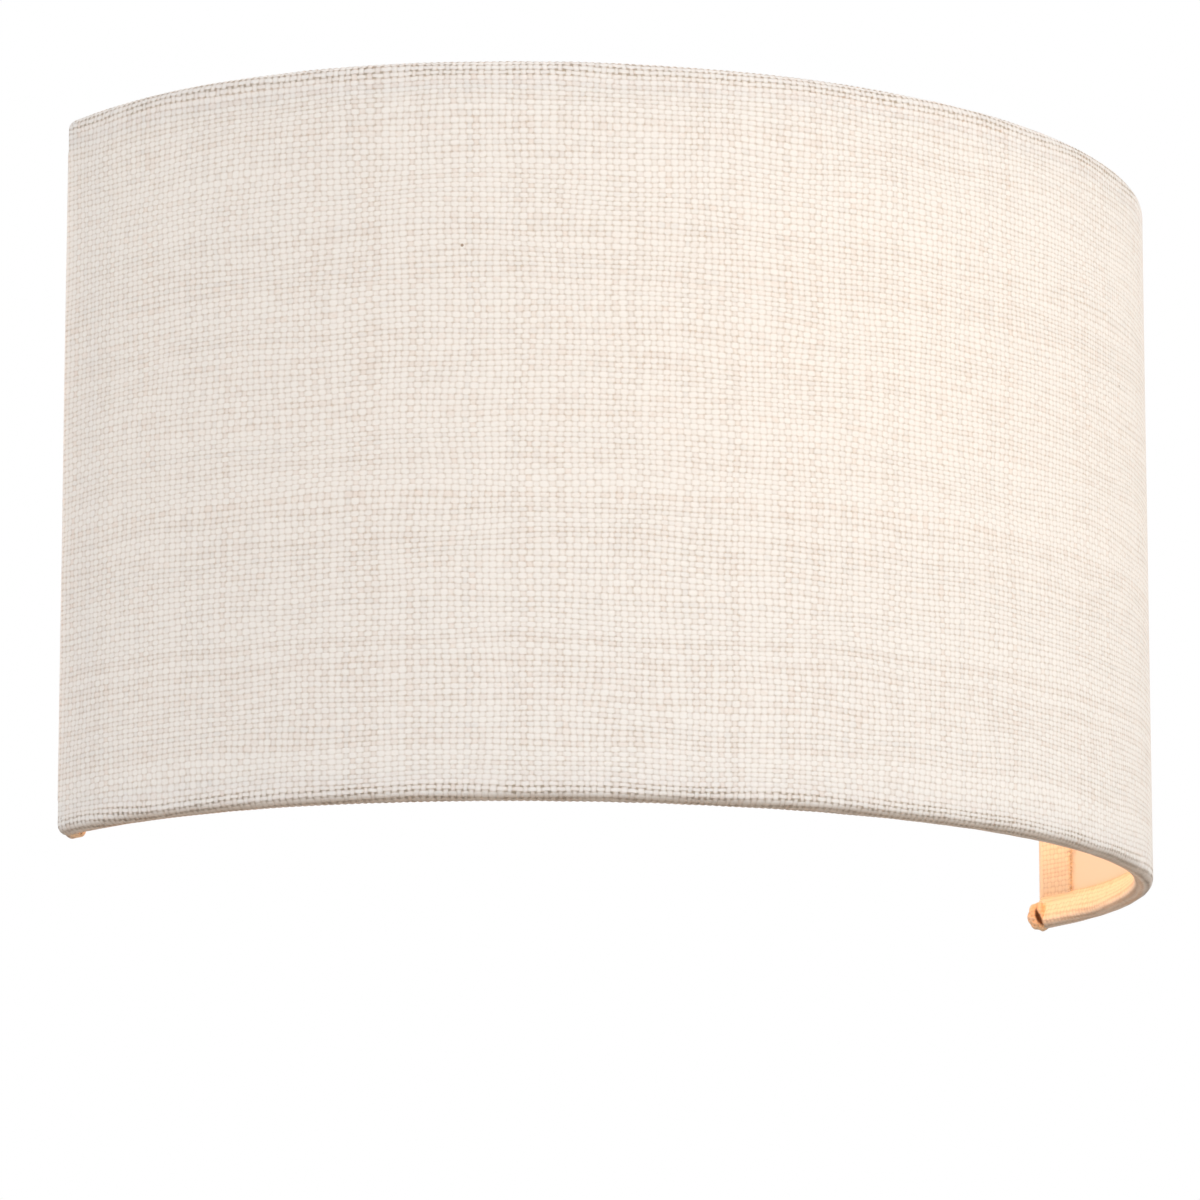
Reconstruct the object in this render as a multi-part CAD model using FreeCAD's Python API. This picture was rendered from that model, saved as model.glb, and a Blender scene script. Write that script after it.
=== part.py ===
"""Half-round fabric wall light.

A woven shade, laminated to a stiff lining and rolled over two wire rims, hangs in front of a pressed
steel backplate. The top rim wire is a closed D with a straight run along the wall, and a U-shaped hanger
wire drops from it into two hooks on the backplate, so the shade lifts straight up and off. An angle
bracket carries a small screw lampholder with the lamp standing up in it.

Millimetres. X runs along the wall, +Y points into the wall, +Z is up. The origin is on the wall plane, at
the centre of the two wall screw slots, level with the middle of the shade.
"""
import FreeCAD
import Part
import math
import os

os.makedirs("parts", exist_ok=True)
V = FreeCAD.Vector
ORIGIN = V(0, 0, 0)
X = V(1, 0, 0)
Y = V(0, 1, 0)
Z = V(0, 0, 1)

# ---- driving dimensions: shade
SHADE_WIDTH = 290.0
SHADE_HEIGHT = 170.0
SHADE_DEPTH = 131.0  # back edge to front, square to the wall
WALL_GAP = 1.5  # wall to the shade's back edges
JOIN_ANGLE = 47.3  # from the wall to where the plan's end arcs meet its front arc, in degrees
FABRIC = 0.8
LINING = 0.4
GLUE = 0.05  # glue line or assembly play between laminated or fitted pieces
RIM_WIRE = 3.0  # diameter
RIM_HEM = 8.0  # height of the fabric turned in over each rim wire
EDGE_HEM = 13.0  # width of the fabric turned in along each back edge
LINING_MARGIN = 5.5  # rim edge to the lining's edge
WIRE_END_RECESS = 1.5  # bottom rim wire's end, in front of the back edge
KNOB_RADIUS = 2.8  # fabric gathered over each corner of the frame
KNOB_INSET = 1.6  # back edge to the knob's centre
BACK_WIRE_INSET = 4.0  # back edge to the centre of the top rim's straight run
D_CORNER_RADIUS = 6.0  # bend where the top rim wire turns along the wall

# ---- driving dimensions: backplate and wall strap
PLATE_WIDTH = 100.0
PLATE_HEIGHT = 120.0
PLATE_DEPTH = 22.0
PLATE_SHEET = 1.2
PLATE_CORNER = 12.0
PLATE_EDGE = 4.0  # radius round the front face
STRAP_WIDTH = 20.0
STRAP_SHEET = 1.5
STRAP_PLAY = 0.5  # backplate wall to strap ear, each side
EAR_DEPTH = 15.0
SLOT_SPACING = 60.0
SLOT_LENGTH = 10.0
SLOT_WIDTH = 5.0
CABLE_HOLE = 12.0
SIDE_SCREW_Y = -9.0

# ---- driving dimensions: hanger and hooks
HANGER_WIRE = 3.0
HANGER_HALF_WIDTH = 35.0
HANGER_Z = -8.0  # centre of its bottom run
HANGER_STANDOFF = 3.5  # backplate face to the wire's centre
HANGER_BEND = 6.0
HOOK_SHEET = 1.2
HOOK_WIDTH = 12.0
HOOK_X = 22.0
HOOK_PLAY = 0.3
HOOK_LIP = 8.0
HOOK_LEG = 15.0
RIVET_SHANK = 1.6  # radius
RIVET_HEAD = 3.0  # radius
RIVET_HEAD_HEIGHT = 1.2

# ---- driving dimensions: lamp bracket, nipple and flex
BRACKET_SHEET = 1.5
BRACKET_WIDTH = 20.0
BRACKET_Z = -42.0  # upper face of its shelf
BRACKET_LEG = 20.0
BRACKET_BEND = 3.0
LAMP_Y = -68.0  # lamp axis, from the wall
NIPPLE_OUTER = 5.0  # radius of the M10x1 thread
NIPPLE_BORE = 3.6  # radius
NUT_ACROSS = 14.0
NUT_THICK = 3.0
WASHER_RADIUS = 8.0
WASHER_THICK = 0.8
FLEX = 4.4  # diameter
GROMMET_Z = -50.0
GROMMET_FLANGE = 4.6  # radius
GROMMET_NECK = 3.6  # radius
GROMMET_LIP = 1.2

# ---- driving dimensions: terminals
BLOCK_WAY = 9.5
BLOCK_LENGTH = 18.0
BLOCK_DEPTH = 12.0
BLOCK_Z = 31.0
TUBE_OUTER = 2.9  # radius
TUBE_BORE = 1.6  # radius
CORE = 2.2  # diameter of one insulated core
EARTH_X = 26.0
EARTH_Z = 10.0

# ---- driving dimensions: E14 lampholder and lamp
HOLDER_RADIUS = 14.0
HOLDER_WALL = 1.6
BASE_HEIGHT = 15.0
SKIRT_TOP = 38.0  # above the bracket shelf
SHELL_INNER = 7.2
SHELL_SHEET = 0.4
CAP_CREST = 6.95
CAP_ROOT = 6.35
CAP_PITCH = 2.82
CAP_TURNS = 6
CAP_SHEET = 0.3
GLOBE_RADIUS = 22.5
GLOBE_WALL = 1.2
SEAT_GAP = 0.3  # lamp contact to the holder's tongue


# ---- general helpers
def fuse(shapes):
    whole = shapes[0].fuse(shapes[1:]) if len(shapes) > 1 else shapes[0]
    return whole.removeSplitter()


def rod_y(radius, y_from, y_to, x=0.0, z=0.0):
    """Cylinder along Y between two depths."""
    low = min(y_from, y_to)
    return Part.makeCylinder(radius, abs(y_to - y_from), V(x, low, z), Y)


def rod_z(radius, z_from, z_to, x=0.0, y=0.0):
    return Part.makeCylinder(radius, z_to - z_from, V(x, y, z_from), Z)


def block(x0, x1, y0, y1, z0, z1):
    return Part.makeBox(x1 - x0, y1 - y0, z1 - z0, V(x0, y0, z0))


def turned(points, axis_y=LAMP_Y):
    """Solid of revolution about the lamp axis, from (radius, height) points."""
    corners = [V(r, axis_y, z) for r, z in points]
    face = Part.Face(Part.makePolygon(corners + corners[:1]))
    return face.revolve(V(0, axis_y, 0), Z, 360)


def rounded_path(points, radii):
    """Straight runs joined by tangent arcs; radii holds one bend radius per inner point."""
    edges = []
    start = points[0]
    for before, corner, after, radius in zip(points, points[1:], points[2:], radii):
        arriving = (corner - before).normalize()
        leaving = (after - corner).normalize()
        turn = arriving.getAngle(leaving)
        setback = radius * math.tan(turn / 2)
        bisector = (leaving - arriving).normalize()
        centre = corner + bisector * (radius / math.cos(turn / 2))
        first = corner - arriving * setback
        last = corner + leaving * setback
        edges.append(Part.LineSegment(start, first).toShape())
        edges.append(Part.Arc(first, centre - bisector * radius, last).toShape())
        start = last
    edges.append(Part.LineSegment(start, points[-1]).toShape())
    return edges


def wire_rod(edges, radius):
    """Round rod along tangent lines and arcs."""
    runs = []
    for edge in edges:
        place = edge.valueAt(edge.FirstParameter)
        heading = edge.tangentAt(edge.FirstParameter)
        circle = Part.Wire(Part.Circle(place, heading, radius).toShape())
        runs.append(Part.Wire(edge).makePipeShell([circle], True, True))
    return fuse(runs)


def soft_path(points):
    """Bend radii for a hand-laid flex: 0.45 of the shorter run over the tangent of half the turn."""
    radii = []
    for before, corner, after in zip(points, points[1:], points[2:]):
        turn = (corner - before).getAngle(after - corner)
        shorter = min((corner - before).Length, (after - corner).Length)
        radii.append(0.45 * shorter / math.tan(turn / 2))
    return radii


def mirrored(shape):
    return shape.mirror(ORIGIN, X)


# ---- shade plan: three tangent arcs, a shallow one in front and a tighter one at each end
HALF_WIDTH = SHADE_WIDTH / 2
HALF_HEIGHT = SHADE_HEIGHT / 2
JOIN_COS = math.cos(math.radians(JOIN_ANGLE))
JOIN_SIN = math.sin(math.radians(JOIN_ANGLE))
RADIUS_STEP = (HALF_WIDTH - SHADE_DEPTH) / (JOIN_COS + JOIN_SIN - 1)  # front radius less end radius
END_RADIUS = HALF_WIDTH - RADIUS_STEP * JOIN_COS
FRONT_RADIUS = END_RADIUS + RADIUS_STEP
END_CENTRE = V(HALF_WIDTH - END_RADIUS, -WALL_GAP, 0)
FRONT_CENTRE = V(0, FRONT_RADIUS - SHADE_DEPTH - WALL_GAP, 0)
PLAN_ARCS = [
    (V(-END_CENTRE.x, END_CENTRE.y, 0), END_RADIUS, -180.0, JOIN_ANGLE - 180.0),
    (FRONT_CENTRE, FRONT_RADIUS, JOIN_ANGLE - 180.0, -JOIN_ANGLE),
    (END_CENTRE, END_RADIUS, -JOIN_ANGLE, 0.0),
]

ROLL = RIM_WIRE / 2 + GLUE + FABRIC  # outer radius of the fabric rolled round a rim wire
LINING_FACE = FABRIC + LINING + 2 * GLUE  # inset of the face that the turned-in fabric lies on
HEM_FACE = LINING_FACE + FABRIC


def swept(section, arcs=PLAN_ARCS):
    """Carries section(outer radius), a face in the XZ plane, round the plan arcs."""
    runs = []
    for centre, radius, start, end in arcs:
        run = section(radius).revolve(ORIGIN, Z, end - start)
        run.rotate(ORIGIN, Z, start)
        run.translate(centre)
        runs.append(run)
    return fuse(runs)


def band(inset_from, inset_to, half_height):
    """Section function of a plain upright band between two insets from the shade's outer face."""

    def section(radius):
        corners = [
            V(radius - inset_from, 0, -half_height),
            V(radius - inset_from, 0, half_height),
            V(radius - inset_to, 0, half_height),
            V(radius - inset_to, 0, -half_height),
        ]
        return Part.Face(Part.makePolygon(corners + corners[:1]))

    return section


def cover_section(radius):
    """The fabric's section: a flat skin whose edges roll round the rim wires and taper onto the lining."""
    roll_z = HALF_HEIGHT - ROLL
    hem_z = HALF_HEIGHT - RIM_HEM
    margin_z = HALF_HEIGHT - LINING_MARGIN
    reach = math.hypot(HEM_FACE - ROLL, hem_z - roll_z)
    hem_bearing = math.atan2(roll_z - hem_z, HEM_FACE - ROLL)
    touch = hem_bearing - math.acos(ROLL / reach)

    def at(inset, z):
        return V(radius - inset, 0, z)

    def side(sign):
        """Half the outline, from the outer face round one rim to the fabric's inner face."""
        rim = Part.Arc(
            at(0, sign * roll_z),
            at(ROLL, sign * HALF_HEIGHT),
            at(ROLL + ROLL * math.cos(touch), sign * (roll_z - ROLL * math.sin(touch))),
        ).toShape()
        corners = [
            at(ROLL + ROLL * math.cos(touch), sign * (roll_z - ROLL * math.sin(touch))),
            at(HEM_FACE, sign * hem_z),
            at(LINING_FACE, sign * hem_z),
            at(LINING_FACE, sign * margin_z),
            at(FABRIC, sign * margin_z),
        ]
        return [rim] + [Part.LineSegment(a, b).toShape() for a, b in zip(corners, corners[1:])]

    outline = side(1) + side(-1)
    outline.append(Part.LineSegment(at(0, -roll_z), at(0, roll_z)).toShape())
    outline.append(Part.LineSegment(at(FABRIC, -margin_z), at(FABRIC, margin_z)).toShape())
    face = Part.Face(Part.Wire(Part.__sortEdges__(outline)))
    for sign in (1, -1):
        tunnel = Part.Circle(at(ROLL, sign * roll_z), Y, RIM_WIRE / 2 + GLUE).toShape()
        face = face.cut(Part.Face(Part.Wire(tunnel)))
    return face.Faces[0]


def back_edge_arcs(width):
    """Short stretches of the two end arcs, from each back edge forward."""
    span = math.degrees(width / END_RADIUS)
    left, _, right = PLAN_ARCS
    return [[(left[0], END_RADIUS, -180.0, span - 180.0)], [(right[0], END_RADIUS, -span, 0.0)]]


def rim_centreline(sign):
    """Centre arcs of a rim wire, from the left back edge to the right one."""
    edges = []
    for centre, radius, start, end in PLAN_ARCS:
        path = Part.Circle(centre + V(0, 0, sign * (HALF_HEIGHT - ROLL)), Z, radius - ROLL)
        edges.append(path.toShape(math.radians(start), math.radians(end)))
    return edges


def top_rim_path():
    """Closed D: the three arcs, a bend at each end and the straight run along the wall."""
    z = HALF_HEIGHT - ROLL
    back_y = -WALL_GAP - BACK_WIRE_INSET
    arc_radius = END_RADIUS - ROLL
    bend_y = back_y - D_CORNER_RADIUS
    run = math.sqrt((arc_radius - D_CORNER_RADIUS) ** 2 - (bend_y - END_CENTRE.y) ** 2)
    bend_x = END_CENTRE.x + run
    bearing = math.atan2(bend_y - END_CENTRE.y, run)
    first, front, last = rim_centreline(1)
    level = V(0, 0, z)
    last = Part.Circle(END_CENTRE + level, Z, arc_radius).toShape(math.radians(-JOIN_ANGLE), bearing)
    first = mirrored(last)
    bend = Part.Circle(V(bend_x, bend_y, z), Z, D_CORNER_RADIUS).toShape(bearing, math.pi / 2)
    straight = Part.LineSegment(V(bend_x, back_y, z), V(-bend_x, back_y, z)).toShape()
    return [front, last, bend, straight, mirrored(bend), first]


def corner_knobs():
    """The bulge at each corner of the frame, where the fabric is gathered and tucked in."""
    out = HALF_WIDTH - ROLL
    back = -WALL_GAP - KNOB_INSET
    return [
        Part.makeSphere(KNOB_RADIUS, V(side * out, back, level * (HALF_HEIGHT - KNOB_RADIUS)))
        for side in (-1, 1)
        for level in (-1, 1)
    ]


def shade_cover(top_path):
    """Fabric skin with its rolled rims, the strips turned in along the back edges, and the corner knobs."""
    cover = [swept(cover_section)]
    for arcs in back_edge_arcs(EDGE_HEM):
        cover.append(swept(band(LINING_FACE, HEM_FACE, HALF_HEIGHT - RIM_HEM), arcs))
    for arcs in back_edge_arcs(FABRIC):
        cover.append(swept(band(0, HEM_FACE, HALF_HEIGHT - RIM_HEM), arcs))
    top_tunnel = wire_rod(top_path, RIM_WIRE / 2 + GLUE)
    bottom_tunnel = wire_rod(rim_centreline(-1), RIM_WIRE / 2 + GLUE)
    bottom_tunnel = bottom_tunnel.cut(behind(-WALL_GAP - WIRE_END_RECESS + GLUE))
    return fuse(cover + corner_knobs()).cut([top_tunnel, bottom_tunnel])


def behind(y):
    """Everything nearer the wall than y, for trimming."""
    return block(-SHADE_WIDTH, SHADE_WIDTH, y, 10.0, -SHADE_HEIGHT, SHADE_HEIGHT)


def shade_lining():
    half_height = HALF_HEIGHT - LINING_MARGIN - GLUE
    sheet = swept(band(FABRIC + GLUE, FABRIC + GLUE + LINING, half_height))
    return sheet.cut(behind(-WALL_GAP - FABRIC - GLUE))


def bottom_rim_wire():
    return wire_rod(rim_centreline(-1), RIM_WIRE / 2).cut(behind(-WALL_GAP - WIRE_END_RECESS))


# ---- hanger: welded to the front of the top rim's straight run, it rests in the backplate's hooks
HANGER_Y = -PLATE_DEPTH - HANGER_STANDOFF
HANGER_TOP_Z = HALF_HEIGHT - ROLL


def hanger_wire():
    weld_y = -WALL_GAP - BACK_WIRE_INSET - RIM_WIRE / 2 - GLUE
    left = [
        V(-HANGER_HALF_WIDTH, weld_y, HANGER_TOP_Z),
        V(-HANGER_HALF_WIDTH, HANGER_Y, HANGER_TOP_Z),
        V(-HANGER_HALF_WIDTH, HANGER_Y, HANGER_Z),
    ]
    right = [V(-p.x, p.y, p.z) for p in reversed(left)]
    return wire_rod(rounded_path(left + right, [HANGER_BEND] * 4), HANGER_WIRE / 2)


# ---- backplate, wall strap and their screws
PLATE_INNER_Y = -PLATE_DEPTH + PLATE_SHEET
EAR_OUTER_X = PLATE_WIDTH / 2 - PLATE_SHEET - STRAP_PLAY
SCREW_CLEARANCE = 0.2
M4 = 2.0  # radius
M3 = 1.5  # radius


def rounded_dish(inset):
    """Solid block of the backplate's outline, smaller by inset on every side but the wall side."""
    half_x = PLATE_WIDTH / 2 - inset
    half_z = PLATE_HEIGHT / 2 - inset
    front = -PLATE_DEPTH + inset
    body = block(-half_x, half_x, front, 0.0, -half_z, half_z)
    corners = [e for e in body.Edges if abs(e.tangentAt(e.FirstParameter).y) > 0.9]
    body = body.makeFillet(PLATE_CORNER - inset, corners)
    rim = [e for e in body.Edges if all(abs(v.Point.y - front) < 0.01 for v in e.Vertexes)]
    return body.makeFillet(PLATE_EDGE - inset, rim)


def backplate():
    dish = rounded_dish(0.0).cut(rounded_dish(PLATE_SHEET))
    drilled = [rod_y(GROMMET_NECK, -PLATE_DEPTH - 1, 0, 0, GROMMET_Z)]
    drilled.append(rod_y(M3 + GLUE, -PLATE_DEPTH - 1, 0, 0, BLOCK_Z))
    drilled.append(rod_y(M4 + GLUE, -PLATE_DEPTH - 1, 0, EARTH_X, EARTH_Z))
    for x, z in RIVET_PLACES:
        drilled.append(rod_y(RIVET_SHANK + GLUE, -PLATE_DEPTH - 1, 0, x, z))
    start = V(-PLATE_WIDTH / 2 - 1, SIDE_SCREW_Y, 0)
    side_bore = Part.makeCylinder(M4 + SCREW_CLEARANCE, PLATE_WIDTH + 2, start, X)
    return dish.cut(drilled + [side_bore])


def wall_strap():
    half = STRAP_WIDTH / 2
    flat = block(-EAR_OUTER_X, EAR_OUTER_X, -STRAP_SHEET, 0, -half, half)
    ear = block(EAR_OUTER_X - STRAP_SHEET, EAR_OUTER_X, -EAR_DEPTH, 0, -half, half)
    strap = fuse([flat, ear, mirrored(ear)])
    strap = strap.makeFillet(STRAP_SHEET, [e for e in strap.Edges if is_strap_bend(e)])
    for sign in (-1, 1):
        middle = sign * SLOT_SPACING / 2
        reach = (SLOT_LENGTH - SLOT_WIDTH) / 2
        ends = [rod_y(SLOT_WIDTH / 2, -STRAP_SHEET - 1, 1, middle + side * reach) for side in (-1, 1)]
        web = block(middle - reach, middle + reach, -STRAP_SHEET - 1, 1, -SLOT_WIDTH / 2, SLOT_WIDTH / 2)
        strap = strap.cut(fuse(ends + [web]))
    strap = strap.cut(rod_y(CABLE_HOLE / 2, -STRAP_SHEET - 1, 1))
    tapped = Part.makeCylinder(M4 + GLUE, PLATE_WIDTH, V(-PLATE_WIDTH / 2, SIDE_SCREW_Y, 0), X)
    return strap.cut(tapped)


def is_strap_bend(edge):
    """The two upright outer edges where the ears turn forward, on the wall side."""
    upright = abs(edge.tangentAt(edge.FirstParameter).z) > 0.9
    corners = [v.Point for v in edge.Vertexes]
    return upright and all(abs(p.y) < 0.01 and abs(abs(p.x) - EAR_OUTER_X) < 0.01 for p in corners)


PAN_HEAD = 3.6  # radius of an M4 pan head
PAN_HEIGHT = 2.2
SIDE_SCREW_LENGTH = 8.0
DRIVE_SLOT = 0.8


def backplate_screws():
    seat = PLATE_WIDTH / 2
    screw = pan_screw(M4, PAN_HEAD, PAN_HEIGHT, SIDE_SCREW_LENGTH)
    screw.rotate(ORIGIN, Y, 90)
    screw.translate(V(seat, SIDE_SCREW_Y, 0))
    return Part.makeCompound([screw, mirrored(screw)])


def pan_screw(radius, head_radius, head_height, length):
    """Slotted screw along Z: the head's seat at z 0, the head above it and the shank below."""
    head = rod_z(head_radius, 0, head_height)
    crown = [e for e in head.Edges if abs(e.BoundBox.ZMin - head_height) < 0.01 and len(e.Vertexes) == 1]
    head = head.makeFillet(head_height * 0.45, crown)
    half_slot = DRIVE_SLOT / 2
    slot = block(-head_radius, head_radius, -half_slot, half_slot, head_height * 0.5, head_height + 1)
    return fuse([head.cut(slot), rod_z(radius, -length, 0)])


# ---- hooks, bracket and rivets on the backplate's face
BRACKET_RIVET_X = 6.0
BRACKET_RIVET_Z = BRACKET_Z + 13.0
HOOK_FLOOR_Z = HANGER_Z - HANGER_WIRE / 2 - HOOK_PLAY
HOOK_RIVET_Z = HOOK_FLOOR_Z - HOOK_LEG / 2 - 1
RIVET_PLACES = [
    (-HOOK_X, HOOK_RIVET_Z),
    (HOOK_X, HOOK_RIVET_Z),
    (-BRACKET_RIVET_X, BRACKET_RIVET_Z),
    (BRACKET_RIVET_X, BRACKET_RIVET_Z),
]


def bent_strip(centre_points, radii, sheet, width, x):
    """Sheet strip of constant thickness, bent along a path in the YZ plane."""
    edges = rounded_path([V(x, y, z) for y, z in centre_points], radii)
    start = edges[0].valueAt(edges[0].FirstParameter)
    heading = edges[0].tangentAt(edges[0].FirstParameter)
    across = X * (width / 2)
    thick = heading.cross(X) * (sheet / 2)
    ring = [start + across + thick, start + across - thick, start - across - thick, start - across + thick]
    section = Part.makePolygon(ring + ring[:1])
    return Part.Wire(edges).makePipeShell([section], True, True)


def shade_hook(x):
    back = -PLATE_DEPTH - HOOK_SHEET / 2
    front = HANGER_Y - HANGER_WIRE / 2 - HOOK_PLAY - HOOK_SHEET / 2
    floor = HOOK_FLOOR_Z - HOOK_SHEET / 2
    points = [(back, floor - HOOK_LEG), (back, floor), (front, floor), (front, HOOK_FLOOR_Z + HOOK_LIP)]
    hook = bent_strip(points, [HOOK_SHEET, HOOK_SHEET], HOOK_SHEET, HOOK_WIDTH, x)
    return hook.cut(rod_y(RIVET_SHANK + GLUE, -PLATE_DEPTH - 5, -PLATE_DEPTH + 1, x, HOOK_RIVET_Z))


SHELF_END = 14.0  # shelf beyond the lamp axis


def lamp_bracket():
    back = -PLATE_DEPTH - BRACKET_SHEET / 2
    shelf = BRACKET_Z - BRACKET_SHEET / 2
    points = [(back, BRACKET_Z + BRACKET_LEG), (back, shelf), (LAMP_Y - SHELF_END, shelf)]
    bracket = bent_strip(points, [BRACKET_BEND], BRACKET_SHEET, BRACKET_WIDTH, 0.0)
    nose = [e for e in bracket.Edges if is_shelf_corner(e)]
    bracket = bracket.makeFillet(BRACKET_WIDTH / 2 - 1, nose)
    bracket = bracket.cut(rod_z(NIPPLE_OUTER + SCREW_CLEARANCE, BRACKET_Z - 5, BRACKET_Z + 5, 0, LAMP_Y))
    for side in (-1, 1):
        x = side * BRACKET_RIVET_X
        bore = rod_y(RIVET_SHANK + GLUE, -PLATE_DEPTH - 5, -PLATE_DEPTH + 1, x, BRACKET_RIVET_Z)
        bracket = bracket.cut(bore)
    return bracket


def is_shelf_corner(edge):
    at_nose = all(abs(v.Point.y - (LAMP_Y - SHELF_END)) < 0.01 for v in edge.Vertexes)
    return at_nose and edge.Length < BRACKET_SHEET + 0.01


def rivet(x, z, sheet):
    """Dome rivet through the backplate and one sheet in front of it."""
    face = -PLATE_DEPTH - sheet
    dome_radius = (RIVET_HEAD**2 + RIVET_HEAD_HEIGHT**2) / (2 * RIVET_HEAD_HEIGHT)
    centre = V(x, face - RIVET_HEAD_HEIGHT + dome_radius, z)
    front = face - RIVET_HEAD_HEIGHT
    dome = Part.makeSphere(dome_radius, centre).common(rod_y(RIVET_HEAD + 1, front - 1, face, x, z))
    shank = rod_y(RIVET_SHANK, face, PLATE_INNER_Y + RIVET_HEAD_HEIGHT, x, z)
    tail = rod_y(RIVET_HEAD * 0.8, PLATE_INNER_Y, PLATE_INNER_Y + RIVET_HEAD_HEIGHT, x, z)
    return fuse([dome, shank, tail])


# ---- nipple, nut, washer, grommet and flex
NIPPLE_TOP = BRACKET_Z + 5.0
NIPPLE_FOOT = BRACKET_Z - BRACKET_SHEET - WASHER_THICK - NUT_THICK - 1.5


def threaded_nipple():
    tube = rod_z(NIPPLE_OUTER, NIPPLE_FOOT, NIPPLE_TOP, 0, LAMP_Y)
    return tube.cut(rod_z(NIPPLE_BORE, NIPPLE_FOOT - 1, NIPPLE_TOP + 1, 0, LAMP_Y))


def nipple_washer():
    top = BRACKET_Z - BRACKET_SHEET
    ring = rod_z(WASHER_RADIUS, top - WASHER_THICK, top, 0, LAMP_Y)
    return ring.cut(rod_z(NIPPLE_OUTER + SCREW_CLEARANCE, top - 5, top + 5, 0, LAMP_Y))


def nipple_nut():
    top = BRACKET_Z - BRACKET_SHEET - WASHER_THICK
    corner = NUT_ACROSS / math.sqrt(3)
    ring = [V(corner * math.cos(a), LAMP_Y + corner * math.sin(a), top - NUT_THICK) for a in hexagon()]
    hexagonal = Part.Face(Part.makePolygon(ring + ring[:1])).extrude(Z * NUT_THICK)
    chamfer = Part.makeCone(corner - 0.9, corner + 0.8, NUT_THICK, V(0, LAMP_Y, top - NUT_THICK), Z)
    return hexagonal.common(chamfer).cut(rod_z(NIPPLE_OUTER + GLUE, top - 5, top + 1, 0, LAMP_Y))


def hexagon():
    return [math.radians(60 * k) for k in range(6)]


def cable_grommet():
    front = -PLATE_DEPTH - GROMMET_LIP
    inner = PLATE_INNER_Y + GROMMET_LIP
    flanges = [
        rod_y(GROMMET_FLANGE, front, -PLATE_DEPTH, 0, GROMMET_Z),
        rod_y(GROMMET_FLANGE, PLATE_INNER_Y, inner, 0, GROMMET_Z),
        rod_y(GROMMET_NECK - GLUE, front, inner, 0, GROMMET_Z),
    ]
    return fuse(flanges).cut(rod_y(FLEX / 2 + GLUE, front - 1, inner + 1, 0, GROMMET_Z))


FLEX_POINTS = [
    V(0, -14, GROMMET_Z),
    V(0, -37, GROMMET_Z),
    V(0, -50, GROMMET_Z - 12),
    V(0, LAMP_Y, GROMMET_Z - 13),
    V(0, LAMP_Y, NIPPLE_TOP - 1),
]


def lampholder_flex():
    radii = soft_path(FLEX_POINTS)
    print("flex bend radii", [round(r, 1) for r in radii])
    path = rounded_path(FLEX_POINTS, radii)
    flex = wire_rod(path, FLEX / 2)
    print("flex length", round(sum(e.Length for e in path), 1))
    print("flex volume ratio", round(volume_ratio(flex, path, FLEX), 4))
    return flex


def volume_ratio(rod, path, diameter):
    return rod.Volume / (math.pi * (diameter / 2) ** 2 * sum(e.Length for e in path))


# ---- terminal block and the cores inside the backplate
BLOCK_FACE_Y = PLATE_INNER_Y + GLUE
BARREL_Y = BLOCK_FACE_Y + 6.5
WAYS = [-BLOCK_WAY, 0.0, BLOCK_WAY]
SCREW_OFFSET = 4.6  # terminal screws, above and below the block's middle
SCREW_PLACES = [(x, BLOCK_Z + side * SCREW_OFFSET) for x in WAYS for side in (-1, 1)]
BARREL_WALL = 1.2
TERMINAL_SCREW = 1.25  # radius
TUBE_LENGTH = 15.0


def terminal_block():
    """Three-way moulded block: a foot, a barrel along each tube and a tower over each screw."""
    half = BLOCK_LENGTH / 2
    reach = TUBE_LENGTH / 2 + GLUE
    top = BLOCK_FACE_Y + BLOCK_DEPTH
    edge = 1.5 * BLOCK_WAY
    foot = block(-edge, edge, BLOCK_FACE_Y, BLOCK_FACE_Y + 5.0, BLOCK_Z - half + 2, BLOCK_Z + half - 2)
    barrels = [rod_z(TUBE_OUTER + BARREL_WALL, BLOCK_Z - half, BLOCK_Z + half, x, BARREL_Y) for x in WAYS]
    towers = [rod_y(2.6, BARREL_Y, top, x, z) for x, z in SCREW_PLACES]
    bores = [rod_z(TUBE_OUTER + GLUE, BLOCK_Z - reach, BLOCK_Z + reach, x, BARREL_Y) for x in WAYS]
    mouths = [rod_z(CORE / 2 + 0.4, BLOCK_Z - half - 1, BLOCK_Z + half + 1, x, BARREL_Y) for x in WAYS]
    wells = [rod_y(TERMINAL_SCREW + 0.3, BARREL_Y, top + 1, x, z) for x, z in SCREW_PLACES]
    fixing = rod_y(M3 + GLUE, BLOCK_FACE_Y - 1, BLOCK_FACE_Y + 2.5, 0, BLOCK_Z)
    return fuse([foot] + barrels + towers).cut(bores + mouths + wells + [fixing])


def terminal_tubes():
    tubes = []
    for x in WAYS:
        low = BLOCK_Z - TUBE_LENGTH / 2
        tube = rod_z(TUBE_OUTER, low, low + TUBE_LENGTH, x, BARREL_Y)
        tube = tube.cut(rod_z(TUBE_BORE, low - 1, low + TUBE_LENGTH + 1, x, BARREL_Y))
        for side in (-1, 1):
            z = BLOCK_Z + side * SCREW_OFFSET
            tube = tube.cut(rod_y(TERMINAL_SCREW + GLUE, BARREL_Y, BARREL_Y + 5, x, z))
        tubes.append(tube)
    return Part.makeCompound(tubes)


def terminal_screws():
    screws = []
    for x, z in SCREW_PLACES:
        screw = rod_y(TERMINAL_SCREW, BARREL_Y + 1.3, BARREL_Y + 5.2, x, z)
        slot = block(x - 2, x + 2, BARREL_Y + 4.5, BARREL_Y + 6, z - 0.3, z + 0.3)
        screws.append(screw.cut(slot))
    return Part.makeCompound(screws)


def terminal_block_screw():
    screw = pan_screw(M3, 2.7, 1.5, PLATE_SHEET + 2.2)
    screw.rotate(ORIGIN, X, 90)
    screw.translate(V(0, -PLATE_DEPTH, BLOCK_Z))
    return screw


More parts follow.
